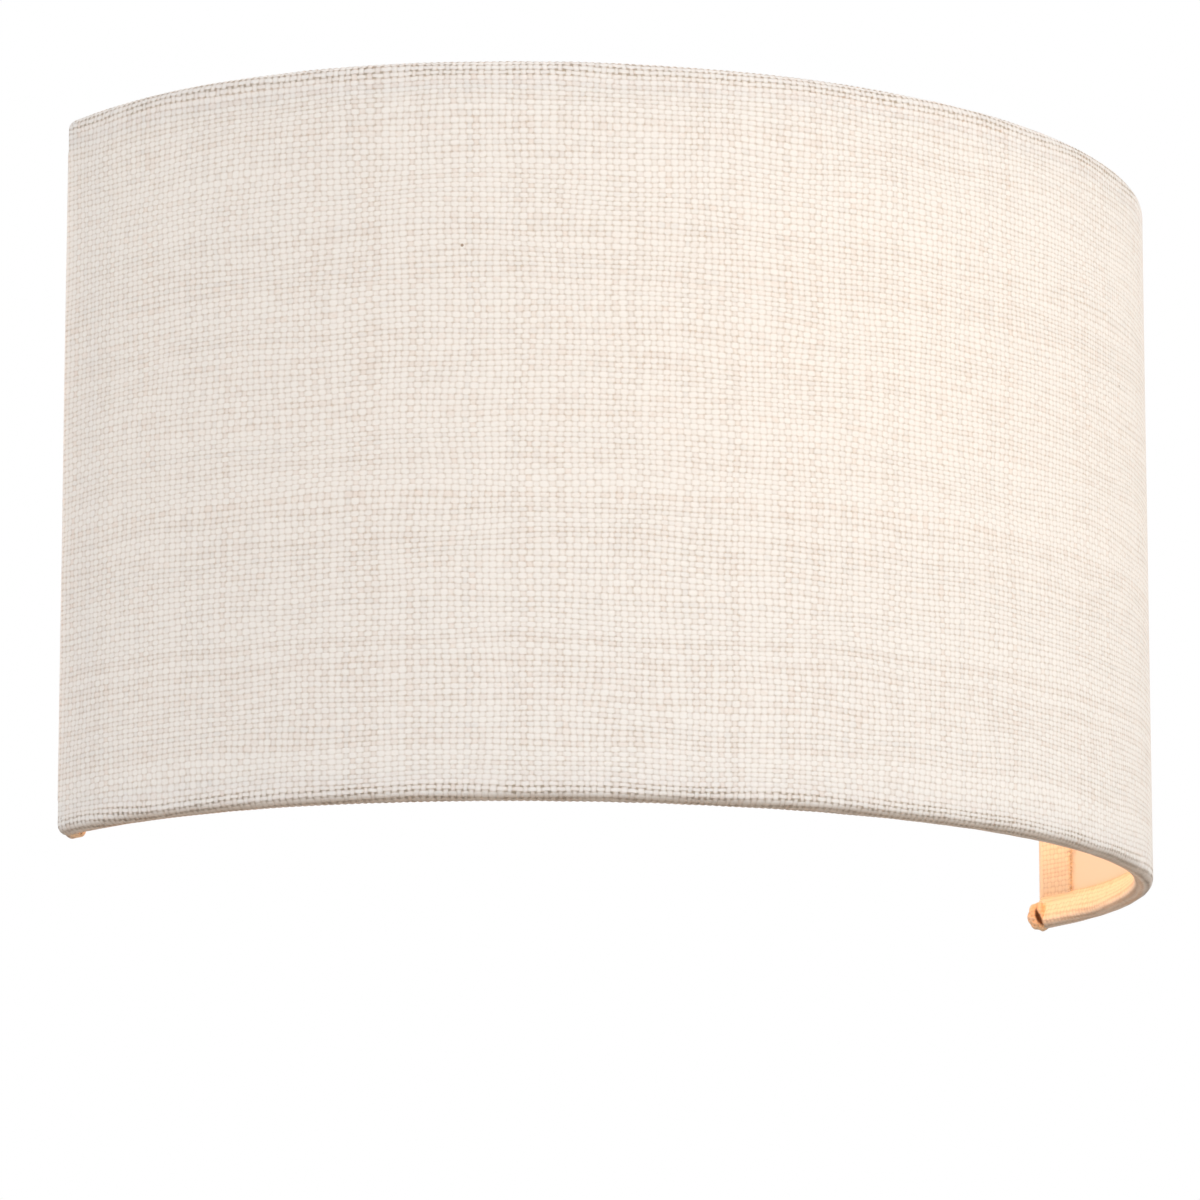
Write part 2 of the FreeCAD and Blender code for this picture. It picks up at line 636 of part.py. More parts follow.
EARTH_WASHER = 0.8
EARTH_TAG = 0.8


def earth_screw():
    screw = pan_screw(M4, PAN_HEAD, PAN_HEIGHT, EARTH_WASHER + EARTH_TAG + PLATE_SHEET + 0.5)
    screw.rotate(ORIGIN, X, -90)
    screw.translate(V(EARTH_X, PLATE_INNER_Y + EARTH_WASHER + EARTH_TAG, EARTH_Z))
    return screw


def earth_ring(radius, y_from, thick):
    ring = rod_y(radius, y_from, y_from + thick, EARTH_X, EARTH_Z)
    return ring.cut(rod_y(M4 + GLUE, y_from - 1, y_from + thick + 1, EARTH_X, EARTH_Z))


def earth_washer():
    return earth_ring(4.5, PLATE_INNER_Y + EARTH_TAG, EARTH_WASHER)


def earth_tag():
    """Ring tag whose barrel is crimped round the earth core."""
    ring = earth_ring(4.0, PLATE_INNER_Y, EARTH_TAG)
    barrel_y = PLATE_INNER_Y + 2.0
    barrel = Part.makeCylinder(2.0, 6.0, V(EARTH_X - 10.5, barrel_y, EARTH_Z), X)
    front = PLATE_INNER_Y + EARTH_TAG
    tongue = block(EARTH_X - 5.5, EARTH_X - 3.0, PLATE_INNER_Y, front, EARTH_Z - 1.5, EARTH_Z + 1.5)
    socket = Part.makeCylinder(CORE / 2 + GLUE, 5.0, V(EARTH_X - 11.5, barrel_y, EARTH_Z), X)
    return fuse([ring, barrel, tongue]).cut([socket, rod_y(M4 + GLUE, -PLATE_DEPTH, 0, EARTH_X, EARTH_Z)])


def core_wire(points):
    return wire_rod(rounded_path(points, soft_path(points)), CORE / 2)


CORE_FOOT_Z = BLOCK_Z - BLOCK_LENGTH / 2 + 4.0  # how far up the cores enter the block


def supply_core(way_x, flex_x):
    """One core, from its terminal down past the strap to the end of the flex's sheath."""
    points = [
        V(way_x, BARREL_Y, CORE_FOOT_Z),
        V(way_x, BARREL_Y, 12),
        V(flex_x * 4, BARREL_Y + 0.5, -12),
        V(flex_x, BARREL_Y + 1.5, -32),
        V(flex_x, -9, GROMMET_Z),
        V(flex_x, -14 + GLUE, GROMMET_Z),
    ]
    return core_wire(points)


def earth_wire():
    barrel_y = PLATE_INNER_Y + 2.0
    points = [
        V(BLOCK_WAY, BARREL_Y, CORE_FOOT_Z),
        V(BLOCK_WAY, BARREL_Y, 17),
        V(BLOCK_WAY - 1.5, BARREL_Y - 2.5, EARTH_Z),
        V(EARTH_X - 12, barrel_y, EARTH_Z),
        V(EARTH_X - 7, barrel_y, EARTH_Z),
    ]
    return core_wire(points)


# ---- lampholder, standing on the bracket shelf
BASE_TOP = BRACKET_Z + BASE_HEIGHT
HOLDER_TOP = BRACKET_Z + SKIRT_TOP
CORE_RADIUS = HOLDER_RADIUS - HOLDER_WALL - 0.2
CORE_FLOOR = BASE_TOP - 5.0
CAVITY_FLOOR = BASE_TOP - 2.0
CORE_TOP = BASE_TOP + 15.0
TONGUE_TOP = CAVITY_FLOOR + 3.2
CONTACT_FOOT = TONGUE_TOP + SEAT_GAP
CONTACT_HEIGHT = 1.1
INSULATOR_FOOT = CONTACT_FOOT + CONTACT_HEIGHT
INSULATOR_HEIGHT = 3.0
CAP_FOOT = INSULATOR_FOOT + INSULATOR_HEIGHT
LEDGE_Z = CAP_FOOT - 1.0
TERMINAL_X = 9.0


def holder_base():
    floor = 3.0
    inner = HOLDER_RADIUS - HOLDER_WALL
    points = [
        (NIPPLE_OUTER + GLUE, BRACKET_Z),
        (HOLDER_RADIUS - 2, BRACKET_Z),
        (HOLDER_RADIUS, BRACKET_Z + 2),
        (HOLDER_RADIUS, BASE_TOP),
        (inner, BASE_TOP),
        (inner, BRACKET_Z + floor),
        (NIPPLE_OUTER + GLUE, BRACKET_Z + floor),
    ]
    return turned(points)


def holder_skirt():
    inner = HOLDER_RADIUS - HOLDER_WALL
    mouth = SHELL_INNER + SHELL_SHEET + 0.4
    low = BASE_TOP + 0.2
    points = [
        (inner, low),
        (HOLDER_RADIUS, low),
        (HOLDER_RADIUS, low + 2),
        (HOLDER_RADIUS - 0.6, low + 2.6),
        (HOLDER_RADIUS - 1.4, HOLDER_TOP - 1.5),
        (HOLDER_RADIUS - 2.6, HOLDER_TOP),
        (mouth, HOLDER_TOP),
        (mouth, HOLDER_TOP - 1.5),
        (HOLDER_RADIUS - 3.6, HOLDER_TOP - 1.5),
        (HOLDER_RADIUS - 3.6, CORE_TOP + 0.2),
        (inner, CORE_TOP - 3),
    ]
    return turned(points)


def holder_core():
    """Moulded insulating core with the lamp well, and a ledge for the screw shell."""
    bore = SHELL_INNER + SHELL_SHEET + GLUE
    points = [
        (0, CORE_FLOOR),
        (CORE_RADIUS, CORE_FLOOR),
        (CORE_RADIUS, CORE_TOP - 3.4),
        (HOLDER_RADIUS - 3.6 - 0.2, CORE_TOP),
        (bore, CORE_TOP),
        (bore, LEDGE_Z),
        (6.8, LEDGE_Z),
        (6.8, CAVITY_FLOOR),
        (0, CAVITY_FLOOR),
    ]
    core = turned(points)
    for side in (-1, 1):
        core = core.cut(rod_z(M3 + GLUE, CORE_FLOOR - 1, CORE_FLOOR + 4, side * TERMINAL_X, LAMP_Y))
    return core


def holder_screw_shell():
    """Thin brass sleeve with a rolled round thread, held in the core."""
    top = HOLDER_TOP - 1.0
    outer = SHELL_INNER + SHELL_SHEET
    low = LEDGE_Z + GLUE
    return rod_z(outer, low, top, 0, LAMP_Y).cut(rod_z(SHELL_INNER, low - 1, top + 1, 0, LAMP_Y))


def holder_tongue():
    """Springy centre contact: a bent strip from the cavity floor up to the lamp's contact."""
    sheet = 0.5
    points = [
        (LAMP_Y + 5.5, CAVITY_FLOOR + sheet / 2),
        (LAMP_Y - 1.0, CAVITY_FLOOR + sheet / 2),
        (LAMP_Y - 4.2, TONGUE_TOP - sheet / 2),
        (LAMP_Y + 3.0, TONGUE_TOP - sheet / 2),
    ]
    return bent_strip(points[:2] + points[2:], [0.8, 0.7], sheet, 4.0, 0.0)


def holder_terminal_screws():
    screw = pan_screw(M3, 2.6, 1.6, 3.5)
    screw.rotate(ORIGIN, X, 180)
    screw.translate(V(TERMINAL_X, LAMP_Y, CORE_FLOOR))
    return Part.makeCompound([screw, mirrored(screw)])


def holder_cores():
    """The flex's two cores, from the end of its sheath to the holder's terminals."""
    start = NIPPLE_TOP - 1 + GLUE
    wires = []
    for side in (-1, 1):
        points = [
            V(side * 1.15, LAMP_Y, start),
            V(side * 1.15, LAMP_Y, start + 1.9),
            V(side * 5.0, LAMP_Y, start + 2.5),
        ]
        wires.append(wire_rod(rounded_path(points, [0.9]), CORE / 2 * 0.7))
    return Part.makeCompound(wires)


# ---- lamp: opal golf-ball LED with an E14 cap
CAP_THREAD_TOP = CAP_FOOT + CAP_PITCH * CAP_TURNS
CAP_TOP = CAP_THREAD_TOP + 2.5
COLLAR_TOP = CAP_TOP + 15.0
COLLAR_RADIUS = 16.0
COLLAR_WALL = 1.5
GLOBE_Z = COLLAR_TOP + math.sqrt(GLOBE_RADIUS**2 - COLLAR_RADIUS**2)


def bulb_contact():
    ball = 2.4**2 / (2 * CONTACT_HEIGHT) + CONTACT_HEIGHT / 2
    dome = Part.makeSphere(ball, V(0, LAMP_Y, CONTACT_FOOT + ball))
    return dome.common(rod_z(4, CONTACT_FOOT - 1, INSULATOR_FOOT, 0, LAMP_Y))


def bulb_insulator():
    return turned([(0, INSULATOR_FOOT), (2.6, INSULATOR_FOOT), (CAP_ROOT - 0.6, CAP_FOOT), (0, CAP_FOOT)])


def bulb_cap():
    """Thin shell with a rolled round thread, drawn as one crest and one root per turn."""
    axis = V(0, LAMP_Y, 0)
    middle = (CAP_CREST + CAP_ROOT) / 2
    swing = (CAP_CREST - CAP_ROOT) / 2
    edges = []
    for turn in range(CAP_TURNS):
        low = CAP_FOOT + turn * CAP_PITCH
        half = CAP_PITCH / 2
        for start, reach in ((low, swing), (low + half, -swing)):
            first = V(middle, LAMP_Y, start)
            peak = V(middle + reach, LAMP_Y, start + half / 2)
            last = V(middle, LAMP_Y, start + half)
            edges.append(Part.Arc(first, peak, last).toShape())
    inner = CAP_ROOT - CAP_SHEET
    rest = [
        V(middle, LAMP_Y, CAP_THREAD_TOP),
        V(middle, LAMP_Y, CAP_TOP),
        V(inner, LAMP_Y, CAP_TOP),
        V(inner, LAMP_Y, CAP_FOOT),
        V(middle, LAMP_Y, CAP_FOOT),
    ]
    edges += [Part.LineSegment(a, b).toShape() for a, b in zip(rest, rest[1:])]
    return Part.Face(Part.Wire(edges)).revolve(axis, Z, 360)


def bulb_collar():
    neck = (CAP_CREST + CAP_ROOT) / 2 + 0.6
    points = [
        (neck - 1.4, CAP_TOP + GLUE),
        (neck + 0.6, CAP_TOP + GLUE),
        (neck + 1.2, CAP_TOP + 2.5),
        (COLLAR_RADIUS, COLLAR_TOP - 1),
        (COLLAR_RADIUS, COLLAR_TOP),
        (COLLAR_RADIUS - COLLAR_WALL, COLLAR_TOP),
        (COLLAR_RADIUS - COLLAR_WALL, COLLAR_TOP - 1.6),
        (neck - 1.4, CAP_TOP + 3.2),
    ]
    return turned(points)


def bulb_globe():
    whole = Part.makeSphere(GLOBE_RADIUS, V(0, LAMP_Y, GLOBE_Z))
    hollow = Part.makeSphere(GLOBE_RADIUS - GLOBE_WALL, V(0, LAMP_Y, GLOBE_Z))
    shell = whole.cut(hollow)
    return shell.cut(rod_z(GLOBE_RADIUS + 5, COLLAR_TOP - 20, COLLAR_TOP + GLUE, 0, LAMP_Y))


BOARD_RADIUS = COLLAR_RADIUS - COLLAR_WALL - 0.1
BOARD_SHEET = 1.2
BOARD_TOP = COLLAR_TOP - 0.3
LED_COUNT = 6
LED_CIRCLE = 8.5


def bulb_led_board():
    return rod_z(BOARD_RADIUS, BOARD_TOP - BOARD_SHEET, BOARD_TOP, 0, LAMP_Y)


def bulb_leds():
    chips = []
    for k in range(LED_COUNT):
        angle = math.radians(360 / LED_COUNT * k)
        x = LED_CIRCLE * math.cos(angle)
        y = LAMP_Y + LED_CIRCLE * math.sin(angle)
        chips.append(block(x - 1.4, x + 1.4, y - 1.4, y + 1.4, BOARD_TOP, BOARD_TOP + 0.8))
    return Part.makeCompound(chips)


def bulb_driver():
    """Driver board, upright in the collar's throat, with its reservoir capacitor."""
    foot = CAP_TOP - 8.0
    top = BOARD_TOP - BOARD_SHEET - GLUE
    board = block(-4.4, 4.4, LAMP_Y - 0.5, LAMP_Y + 0.5, foot, top)
    capacitor = rod_z(2.5, foot + 1, foot + 10, 0, LAMP_Y - 2.8)
    return fuse([board, capacitor])


# ---- every node and its solids
def rivets(places, sheet):
    return Part.makeCompound([rivet(x, z, sheet) for x, z in places])


def model():
    top_path = top_rim_path()
    return {
        "shade_cover": shade_cover(top_path),
        "shade_lining": shade_lining(),
        "top_rim_wire": wire_rod(top_path, RIM_WIRE / 2),
        "bottom_rim_wire": bottom_rim_wire(),
        "hanger_wire": hanger_wire(),
        "wall_strap": wall_strap(),
        "backplate": backplate(),
        "backplate_screws": backplate_screws(),
        "shade_hook_left": shade_hook(-HOOK_X),
        "shade_hook_right": shade_hook(HOOK_X),
        "hook_rivets": rivets(RIVET_PLACES[:2], HOOK_SHEET),
        "lamp_bracket": lamp_bracket(),
        "bracket_rivets": rivets(RIVET_PLACES[2:], BRACKET_SHEET),
        "threaded_nipple": threaded_nipple(),
        "nipple_washer": nipple_washer(),
        "nipple_nut": nipple_nut(),
        "cable_grommet": cable_grommet(),
        "lampholder_flex": lampholder_flex(),
        "terminal_block": terminal_block(),
        "terminal_tubes": terminal_tubes(),
        "terminal_screws": terminal_screws(),
        "terminal_block_screw": terminal_block_screw(),
        "earth_screw": earth_screw(),
        "earth_washer": earth_washer(),
        "earth_tag": earth_tag(),
        "earth_wire": earth_wire(),
        "live_wire": supply_core(-BLOCK_WAY, -1.15),
        "neutral_wire": supply_core(0.0, 1.15),
        "holder_base": holder_base(),
        "holder_skirt": holder_skirt(),
        "holder_core": holder_core(),
        "holder_screw_shell": holder_screw_shell(),
        "holder_tongue": holder_tongue(),
        "holder_terminal_screws": holder_terminal_screws(),
        "holder_cores": holder_cores(),
        "bulb_contact": bulb_contact(),
        "bulb_insulator": bulb_insulator(),
        "bulb_cap": bulb_cap(),
        "bulb_collar": bulb_collar(),
        "bulb_globe": bulb_globe(),
        "bulb_led_board": bulb_led_board(),
        "bulb_leds": bulb_leds(),
        "bulb_driver": bulb_driver(),
    }


for node, shape in model().items():
    assert shape.isValid(), node
    shape.exportStep(f"parts/{node}.step")
    print(f"{node:24s} solids {len(shape.Solids)}  volume {shape.Volume:10.1f} mm3")
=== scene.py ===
# %% [markdown]
# A half-round fabric wall light, lit from inside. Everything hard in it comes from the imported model, which is a fixed
# frame: each part is already in its place, in metres. This script gives those parts their finishes, and makes what
# the frame only stands in for: the woven cover with its rolled rims, the gathered corners, the loose thread ends and
# the flex.

# %% Load the frame
import math
import random

import bmesh
import bpy
from mathutils import Matrix, Vector, noise


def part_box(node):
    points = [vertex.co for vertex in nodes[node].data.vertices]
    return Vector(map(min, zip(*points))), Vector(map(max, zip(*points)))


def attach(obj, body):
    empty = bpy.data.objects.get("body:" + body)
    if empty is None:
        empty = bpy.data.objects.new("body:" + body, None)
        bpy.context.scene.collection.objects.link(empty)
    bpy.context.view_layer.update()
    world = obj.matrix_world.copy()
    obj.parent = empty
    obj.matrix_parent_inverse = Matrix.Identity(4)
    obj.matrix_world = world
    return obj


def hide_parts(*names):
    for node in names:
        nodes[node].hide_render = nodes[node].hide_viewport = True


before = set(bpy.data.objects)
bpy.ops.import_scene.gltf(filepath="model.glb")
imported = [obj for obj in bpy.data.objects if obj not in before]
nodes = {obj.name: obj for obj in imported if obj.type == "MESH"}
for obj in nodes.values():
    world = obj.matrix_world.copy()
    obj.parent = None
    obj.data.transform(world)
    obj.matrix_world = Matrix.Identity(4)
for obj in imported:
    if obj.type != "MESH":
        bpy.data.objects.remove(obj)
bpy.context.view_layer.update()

scene = bpy.context.scene
MM = 0.001

# %% [markdown]
# The camera comes first, because every choice below is judged through it. The light is seen from a little below and
# well to its left, from over a metre away with a long lens, so its upright edges stay nearly parallel. The long lens
# is what keeps the curve of the top rim so shallow.

# %% The camera
EYE = Vector((-0.8426, -1.2448, -0.2990))
LOOKING = Vector((0.5543, 0.8112, 0.1862))
LENS, SENSOR = 186.9, 36.0  # both in millimetres
camera_data = bpy.data.cameras.new("camera")
camera_data.lens = LENS
camera_data.sensor_width = SENSOR
camera_data.clip_start = 0.05
camera_data.clip_end = 50.0
camera = bpy.data.objects.new("camera", camera_data)
camera.location = EYE
camera.rotation_mode = "QUATERNION"
camera.rotation_quaternion = LOOKING.to_track_quat("-Z", "Y")
scene.collection.objects.link(camera)
scene.camera = camera
print("camera:", [round(x, 3) for x in EYE])

# %% [markdown]
# The shade's plan is three arcs that run smoothly into one another: a shallow one in front and a tighter one at each
# end. The cover follows that plan exactly, so the same few measures as the frame's are worked out here once. The rest
# of the cover's making needs only two questions answered: where each arc is centred, and how far along the plan a
# point lies.

# %% The shade's plan
HALF_WIDTH = 145.0 * MM
HALF_HEIGHT = 85.0 * MM
SHADE_DEPTH = 131.0 * MM
WALL_GAP = 1.5 * MM
JOIN = math.radians(47.3)  # where the end arcs meet the front arc, from the wall
ARC_STEP = (HALF_WIDTH - SHADE_DEPTH) / (math.cos(JOIN) + math.sin(JOIN) - 1)
END_RADIUS = HALF_WIDTH - ARC_STEP * math.cos(JOIN)
FRONT_RADIUS = END_RADIUS + ARC_STEP
END_X = HALF_WIDTH - END_RADIUS
LEFT_CENTRE = Vector((-END_X, -WALL_GAP, 0))
RIGHT_CENTRE = Vector((END_X, -WALL_GAP, 0))
FRONT_CENTRE = Vector((0, FRONT_RADIUS - SHADE_DEPTH - WALL_GAP, 0))
FRONT_TURN = math.pi - 2 * JOIN
END_RUN = END_RADIUS * JOIN
PLAN_RUN = 2 * END_RUN + FRONT_RADIUS * FRONT_TURN


def along_plan(point):
    """How far along the shade's plan a point lies, from the left back edge, in metres."""
    from_front = point - FRONT_CENTRE
    bearing = math.atan2(from_front.y, from_front.x)
    if -math.pi + JOIN <= bearing <= -JOIN:
        return END_RUN + (bearing + math.pi - JOIN) * FRONT_RADIUS
    if point.x < 0:
        out = point - LEFT_CENTRE
        return math.atan2(-out.y, -out.x) * END_RADIUS
    out = point - RIGHT_CENTRE
    return PLAN_RUN - math.atan2(-out.y, out.x) * END_RADIUS


print("plan: %.1f mm round, radii %.1f and %.1f mm" % (PLAN_RUN / MM, END_RADIUS / MM, FRONT_RADIUS / MM))

# %% [markdown]
# The cover is one cut of linen-look cloth. On the real shade it is stuck to a stiff lining, rolled round a wire at the
# top and the bottom, tucked in, and turned in along both back edges. Seen from the end, that is a profile: a tucked-in
# hem, the roll, the tall outer face, the other roll and its hem. A cloth simulation would add nothing to a cloth that
# is pulled tight and glued, so the profile is drawn once and spun round the three arcs. The spin keeps the distance
# along the cloth even, which is what the weave needs.

# %% The cover's profile
CLOTH = 0.8 * MM
ROLL_INSET = 2.35 * MM  # outer face to the centre of a rim wire
ROLL_Z = HALF_HEIGHT - ROLL_INSET
ROLL_BEND = 1.95 * MM  # radius of the cloth's middle layer round the wire
FACE_INSET = CLOTH / 2
TUCK_INSET = 1.7 * MM  # where the tucked-in cloth lies on the lining
TUCK_Z = 77.0 * MM
ROLL_STEPS = 9
FACE_STEPS = 8


def rolled_side(sign):
    """Points of the profile from the end of one hem, round its rim wire, to the outer face."""
    reach = math.hypot(TUCK_INSET - ROLL_INSET, TUCK_Z - ROLL_Z)
    bearing = math.atan2(ROLL_Z - TUCK_Z, TUCK_INSET - ROLL_INSET)
    touch = bearing - math.acos(ROLL_BEND / reach)
    touch_inset = ROLL_INSET + ROLL_BEND * math.cos(touch)
    touch_z = ROLL_Z - ROLL_BEND * math.sin(touch)
    points = [(TUCK_INSET, TUCK_Z), ((TUCK_INSET + touch_inset) / 2, (TUCK_Z + touch_z) / 2)]
    first = math.atan2(touch_z - ROLL_Z, touch_inset - ROLL_INSET)
    for step in range(ROLL_STEPS + 1):
        angle = first + (math.pi - first) * step / ROLL_STEPS
        points.append((ROLL_INSET + ROLL_BEND * math.cos(angle), ROLL_Z + ROLL_BEND * math.sin(angle)))
    points.append((FACE_INSET, TUCK_Z))
    return [(inset, sign * z) for inset, z in points]


upper, lower = rolled_side(1), rolled_side(-1)
face_z = [TUCK_Z - 2 * TUCK_Z * step / FACE_STEPS for step in range(1, FACE_STEPS)]
profile = upper + [(FACE_INSET, z) for z in face_z] + lower[::-1]
steps = [math.dist(a, b) for a, b in zip(profile, profile[1:])]
profile_run = [0.0]
for step in steps:
    profile_run.append(profile_run[-1] + step)
CUT_HEIGHT = profile_run[-1]
print("profile: %d points, %.1f mm of cloth from hem to hem" % (len(profile), CUT_HEIGHT / MM))

# %% [markdown]
# The profile starts just in front of the left back edge, where the cloth begins its turn round that edge, and is spun
# through the left arc, the front arc and the right arc. The distance along the profile rides on its corners as a
# number, and the spin copies it to every new corner. Four steps are taken to each upright thread, so that the rims can
# have real ribs in the next cell.

# %% Spin the profile round the plan
WARP_PITCH = 1.61 * MM  # upright threads
WEFT_PITCH = 1.25 * MM  # level threads
TURN_BEND = (TUCK_INSET - FACE_INSET) / 2  # radius of the turn round a back edge
EDGE_START = (TURN_BEND + CLOTH / 2) / END_RADIUS  # angle kept for that turn
RIB_STEPS = 4  # steps of the spin to each upright thread

cover = bmesh.new()
run_layer = cover.verts.layers.float.new("run")
chain = []
for (inset, z), run in zip(profile, profile_run):
    corner = cover.verts.new((-(HALF_WIDTH - inset), -WALL_GAP, z))
    corner[run_layer] = run
    chain.append(corner)
edges = [cover.edges.new(pair) for pair in zip(chain, chain[1:])]
bmesh.ops.rotate(cover, verts=chain, cent=LEFT_CENTRE, matrix=Matrix.Rotation(EDGE_START, 3, "Z"))


def spin(mesh, geometry, centre, angle, count):
    """Spins corners and edges about an upright axis, and gives back the last ones made."""
    made = bmesh.ops.spin(mesh, geom=geometry, cent=centre, axis=(0, 0, 1), angle=angle, steps=count)
    return made["geom_last"]


def thread_steps(length):
    return max(1, round(length / WARP_PITCH * RIB_STEPS))


left_end = chain + edges
last = left_end
for centre, angle, radius in (
    (LEFT_CENTRE, JOIN - EDGE_START, END_RADIUS),
    (FRONT_CENTRE, FRONT_TURN, FRONT_RADIUS),
    (RIGHT_CENTRE, JOIN - EDGE_START, END_RADIUS),
):
    last = spin(cover, last, centre, angle, thread_steps(angle * radius))
right_end = last
print("cover: %d faces after the spins" % len(cover.faces))

# %% [markdown]
# Along each back edge the cloth turns through a half circle and runs 13 mm forward over the lining. Only the tall
# outer face does that, between the two hems. Its edges are picked out of the profile at each end and spun twice: once
# round the edge itself, and once back along the arc.

# %% Turn the cloth in along the back edges
EDGE_TUCK = 13.0 * MM
TURN_STEPS, STRIP_STEPS = 6, 8
TINY = 1e-6
turned_in = EDGE_TUCK / END_RADIUS


def face_edges(end):
    """The edges of the outer face, between the hems, at one end of the cover."""
    kept = [e for e in end if isinstance(e, bmesh.types.BMEdge)]
    kept = [e for e in kept if all(abs(v.co.z) <= TUCK_Z + TINY for v in e.verts)]
    outward = [e for e in kept if abs(e.verts[0].co.x) > HALF_WIDTH - 1.0 * MM]
    return outward + list(dict.fromkeys(v for e in outward for v in e.verts))


for end, centre, side in ((left_end, LEFT_CENTRE, -1), (right_end, RIGHT_CENTRE, 1)):
    picked = face_edges(end)
    corner = next(g for g in picked if isinstance(g, bmesh.types.BMVert))
    level = Vector((corner.co.x, corner.co.y, 0))
    outward = (level - Vector((centre.x, centre.y, 0))).normalized()
    turn_centre = level - outward * TURN_BEND
    strip = spin(cover, picked, turn_centre, side * math.pi, TURN_STEPS)
    spin(cover, strip, centre, -side * turned_in, STRIP_STEPS)
bmesh.ops.remove_doubles(cover, verts=cover.verts, dist=TINY)
print("cover: %d faces with the turned-in strips" % len(cover.faces))

# %% [markdown]
# The weave must follow the cloth, so the cover carries a UV map in real metres: along the plan one way and along the
# profile the other. Round a back edge the distance runs on, down past nothing on the left and past the full length on
# the right, so the threads turn the corner as real ones do. A second number marks the cloth that lies inside the
# shade, and grows from 0 to 1 round each roll. The material needs it, because the inner cloth lets lamp light on to
# the outer layer, and because that cloth is painted warmer, as the lamp lights it.

# %% Measure the cloth for its weave
along_layer = cover.verts.layers.float.new("along")
inside_layer = cover.verts.layers.float.new("inside")
EDGE_RUN = EDGE_START * END_RADIUS
roll_foot, roll_top = profile_run[3], profile_run[7]  # where a roll begins, and just past its top
for corner in cover.verts:
    centre = LEFT_CENTRE if corner.co.x < 0 else RIGHT_CENTRE
    level = Vector((corner.co.x, corner.co.y, 0))
    inset = END_RADIUS - (level - centre).length
    along = along_plan(level)
    near_edge = min(along, PLAN_RUN - along)
    on_turn = near_edge < EDGE_RUN - TINY
    low_enough = abs(corner.co.z) <= TUCK_Z + TINY
    tucked = low_enough and near_edge < EDGE_TUCK + 3 * MM and inset > FACE_INSET + 0.01 * MM
    if on_turn or tucked:
        if on_turn:
            sideways = (FACE_INSET + TURN_BEND) - inset
            turned = TURN_BEND * (math.pi / 2 - math.atan2(sideways, EDGE_RUN - near_edge))
        else:
            turned = math.pi * TURN_BEND + near_edge - EDGE_RUN
        along = EDGE_RUN - turned if corner.co.x < 0 else PLAN_RUN - (EDGE_RUN - turned)
        corner[inside_layer] = 1.0 if turned > TURN_BEND * math.pi / 2 else 0.0
    corner[along_layer] = along
    from_hem = min(corner[run_layer], CUT_HEIGHT - corner[run_layer])
    if from_hem < roll_top:
        corner[inside_layer] = min(1.0, (roll_top - from_hem) / (roll_top - roll_foot))
runs = [v[along_layer] for v in cover.verts]
print("cloth runs from %.1f to %.1f mm round the plan" % (min(runs) / MM, max(runs) / MM))

# %% [markdown]
# A real rolled rim isn't a smooth tube. The threads that go over the wire stand up as small ribs, one to each thread,
# and the whole edge wanders by a hair. Both are real shape here, because they show against the background, where a
# bump in a material can't. Elsewhere the cloth only undulates a little, as glued cloth does.

# %% Ribs on the rims, and a slight unevenness
RIB = 0.085 * MM
WANDER = 0.14 * MM
RIM_FROM, RIM_FADE = 79.5 * MM, 2.0 * MM  # where the ribs begin, up or down, and how soon they are full
cover.normal_update()
bmesh.ops.recalc_face_normals(cover, faces=cover.faces)
middles = [(face, face.calc_center_median()) for face in cover.faces]
front_faces = [face for face, at in middles if at.y < -120 * MM and abs(at.z) < 60 * MM]
if sum(f.normal.y for f in front_faces) > 0:
    bmesh.ops.reverse_faces(cover, faces=cover.faces)
cover.normal_update()
moves = []
for corner in cover.verts:
    along, run = corner[along_layer], corner[run_layer]
    rim = max(0.0, min(1.0, (abs(corner.co.z) - RIM_FROM) / RIM_FADE))
    rib = RIB * rim * math.cos(2 * math.pi * along / WARP_PITCH)
    fine = noise.noise(Vector((along * 150, run * 60, 3.0)))
    broad = noise.noise(Vector((along * 38, run * 22, 9.0)))
    wander = WANDER * (0.5 * fine * rim + 0.6 * broad)
    if corner[inside_layer] > 0.5:
        wander = abs(wander)
    moves.append(corner.normal * (rib + wander))
for corner, move in zip(cover.verts, moves):
    corner.co += move
print("rims ribbed every %.2f mm" % (WARP_PITCH / MM))

# %% [markdown]
# A bmesh is only a workbench. One helper turns any finished one into an object at the origin and hangs it on the body
# that it moves with. The cover's UV map is filled from its two distances first.

# %% From workbench to object
def into_object(mesh, name, body=None):
    """Makes a bmesh an object at the origin, which can ride on a body of the frame."""
    data = bpy.data.meshes.new(name)
    mesh.to_mesh(data)
    mesh.free()
    data.polygons.foreach_set("use_smooth", [True] * len(data.polygons))
    made = bpy.data.objects.new(name, data)
    scene.collection.objects.link(made)
    if body:
        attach(made, body)
    print(name, "has", len(data.polygons), "faces")
    return made


uv = cover.loops.layers.uv.new("cloth")
for face in cover.faces:
    for loop in face.loops:
        loop[uv].uv = (loop.vert[along_layer], loop.vert[run_layer])
linen_cover = into_object(cover, "linen_cover", "shade")
thickness = linen_cover.modifiers.new("cloth thickness", "SOLIDIFY")
thickness.thickness = CLOTH
thickness.offset = 0.0
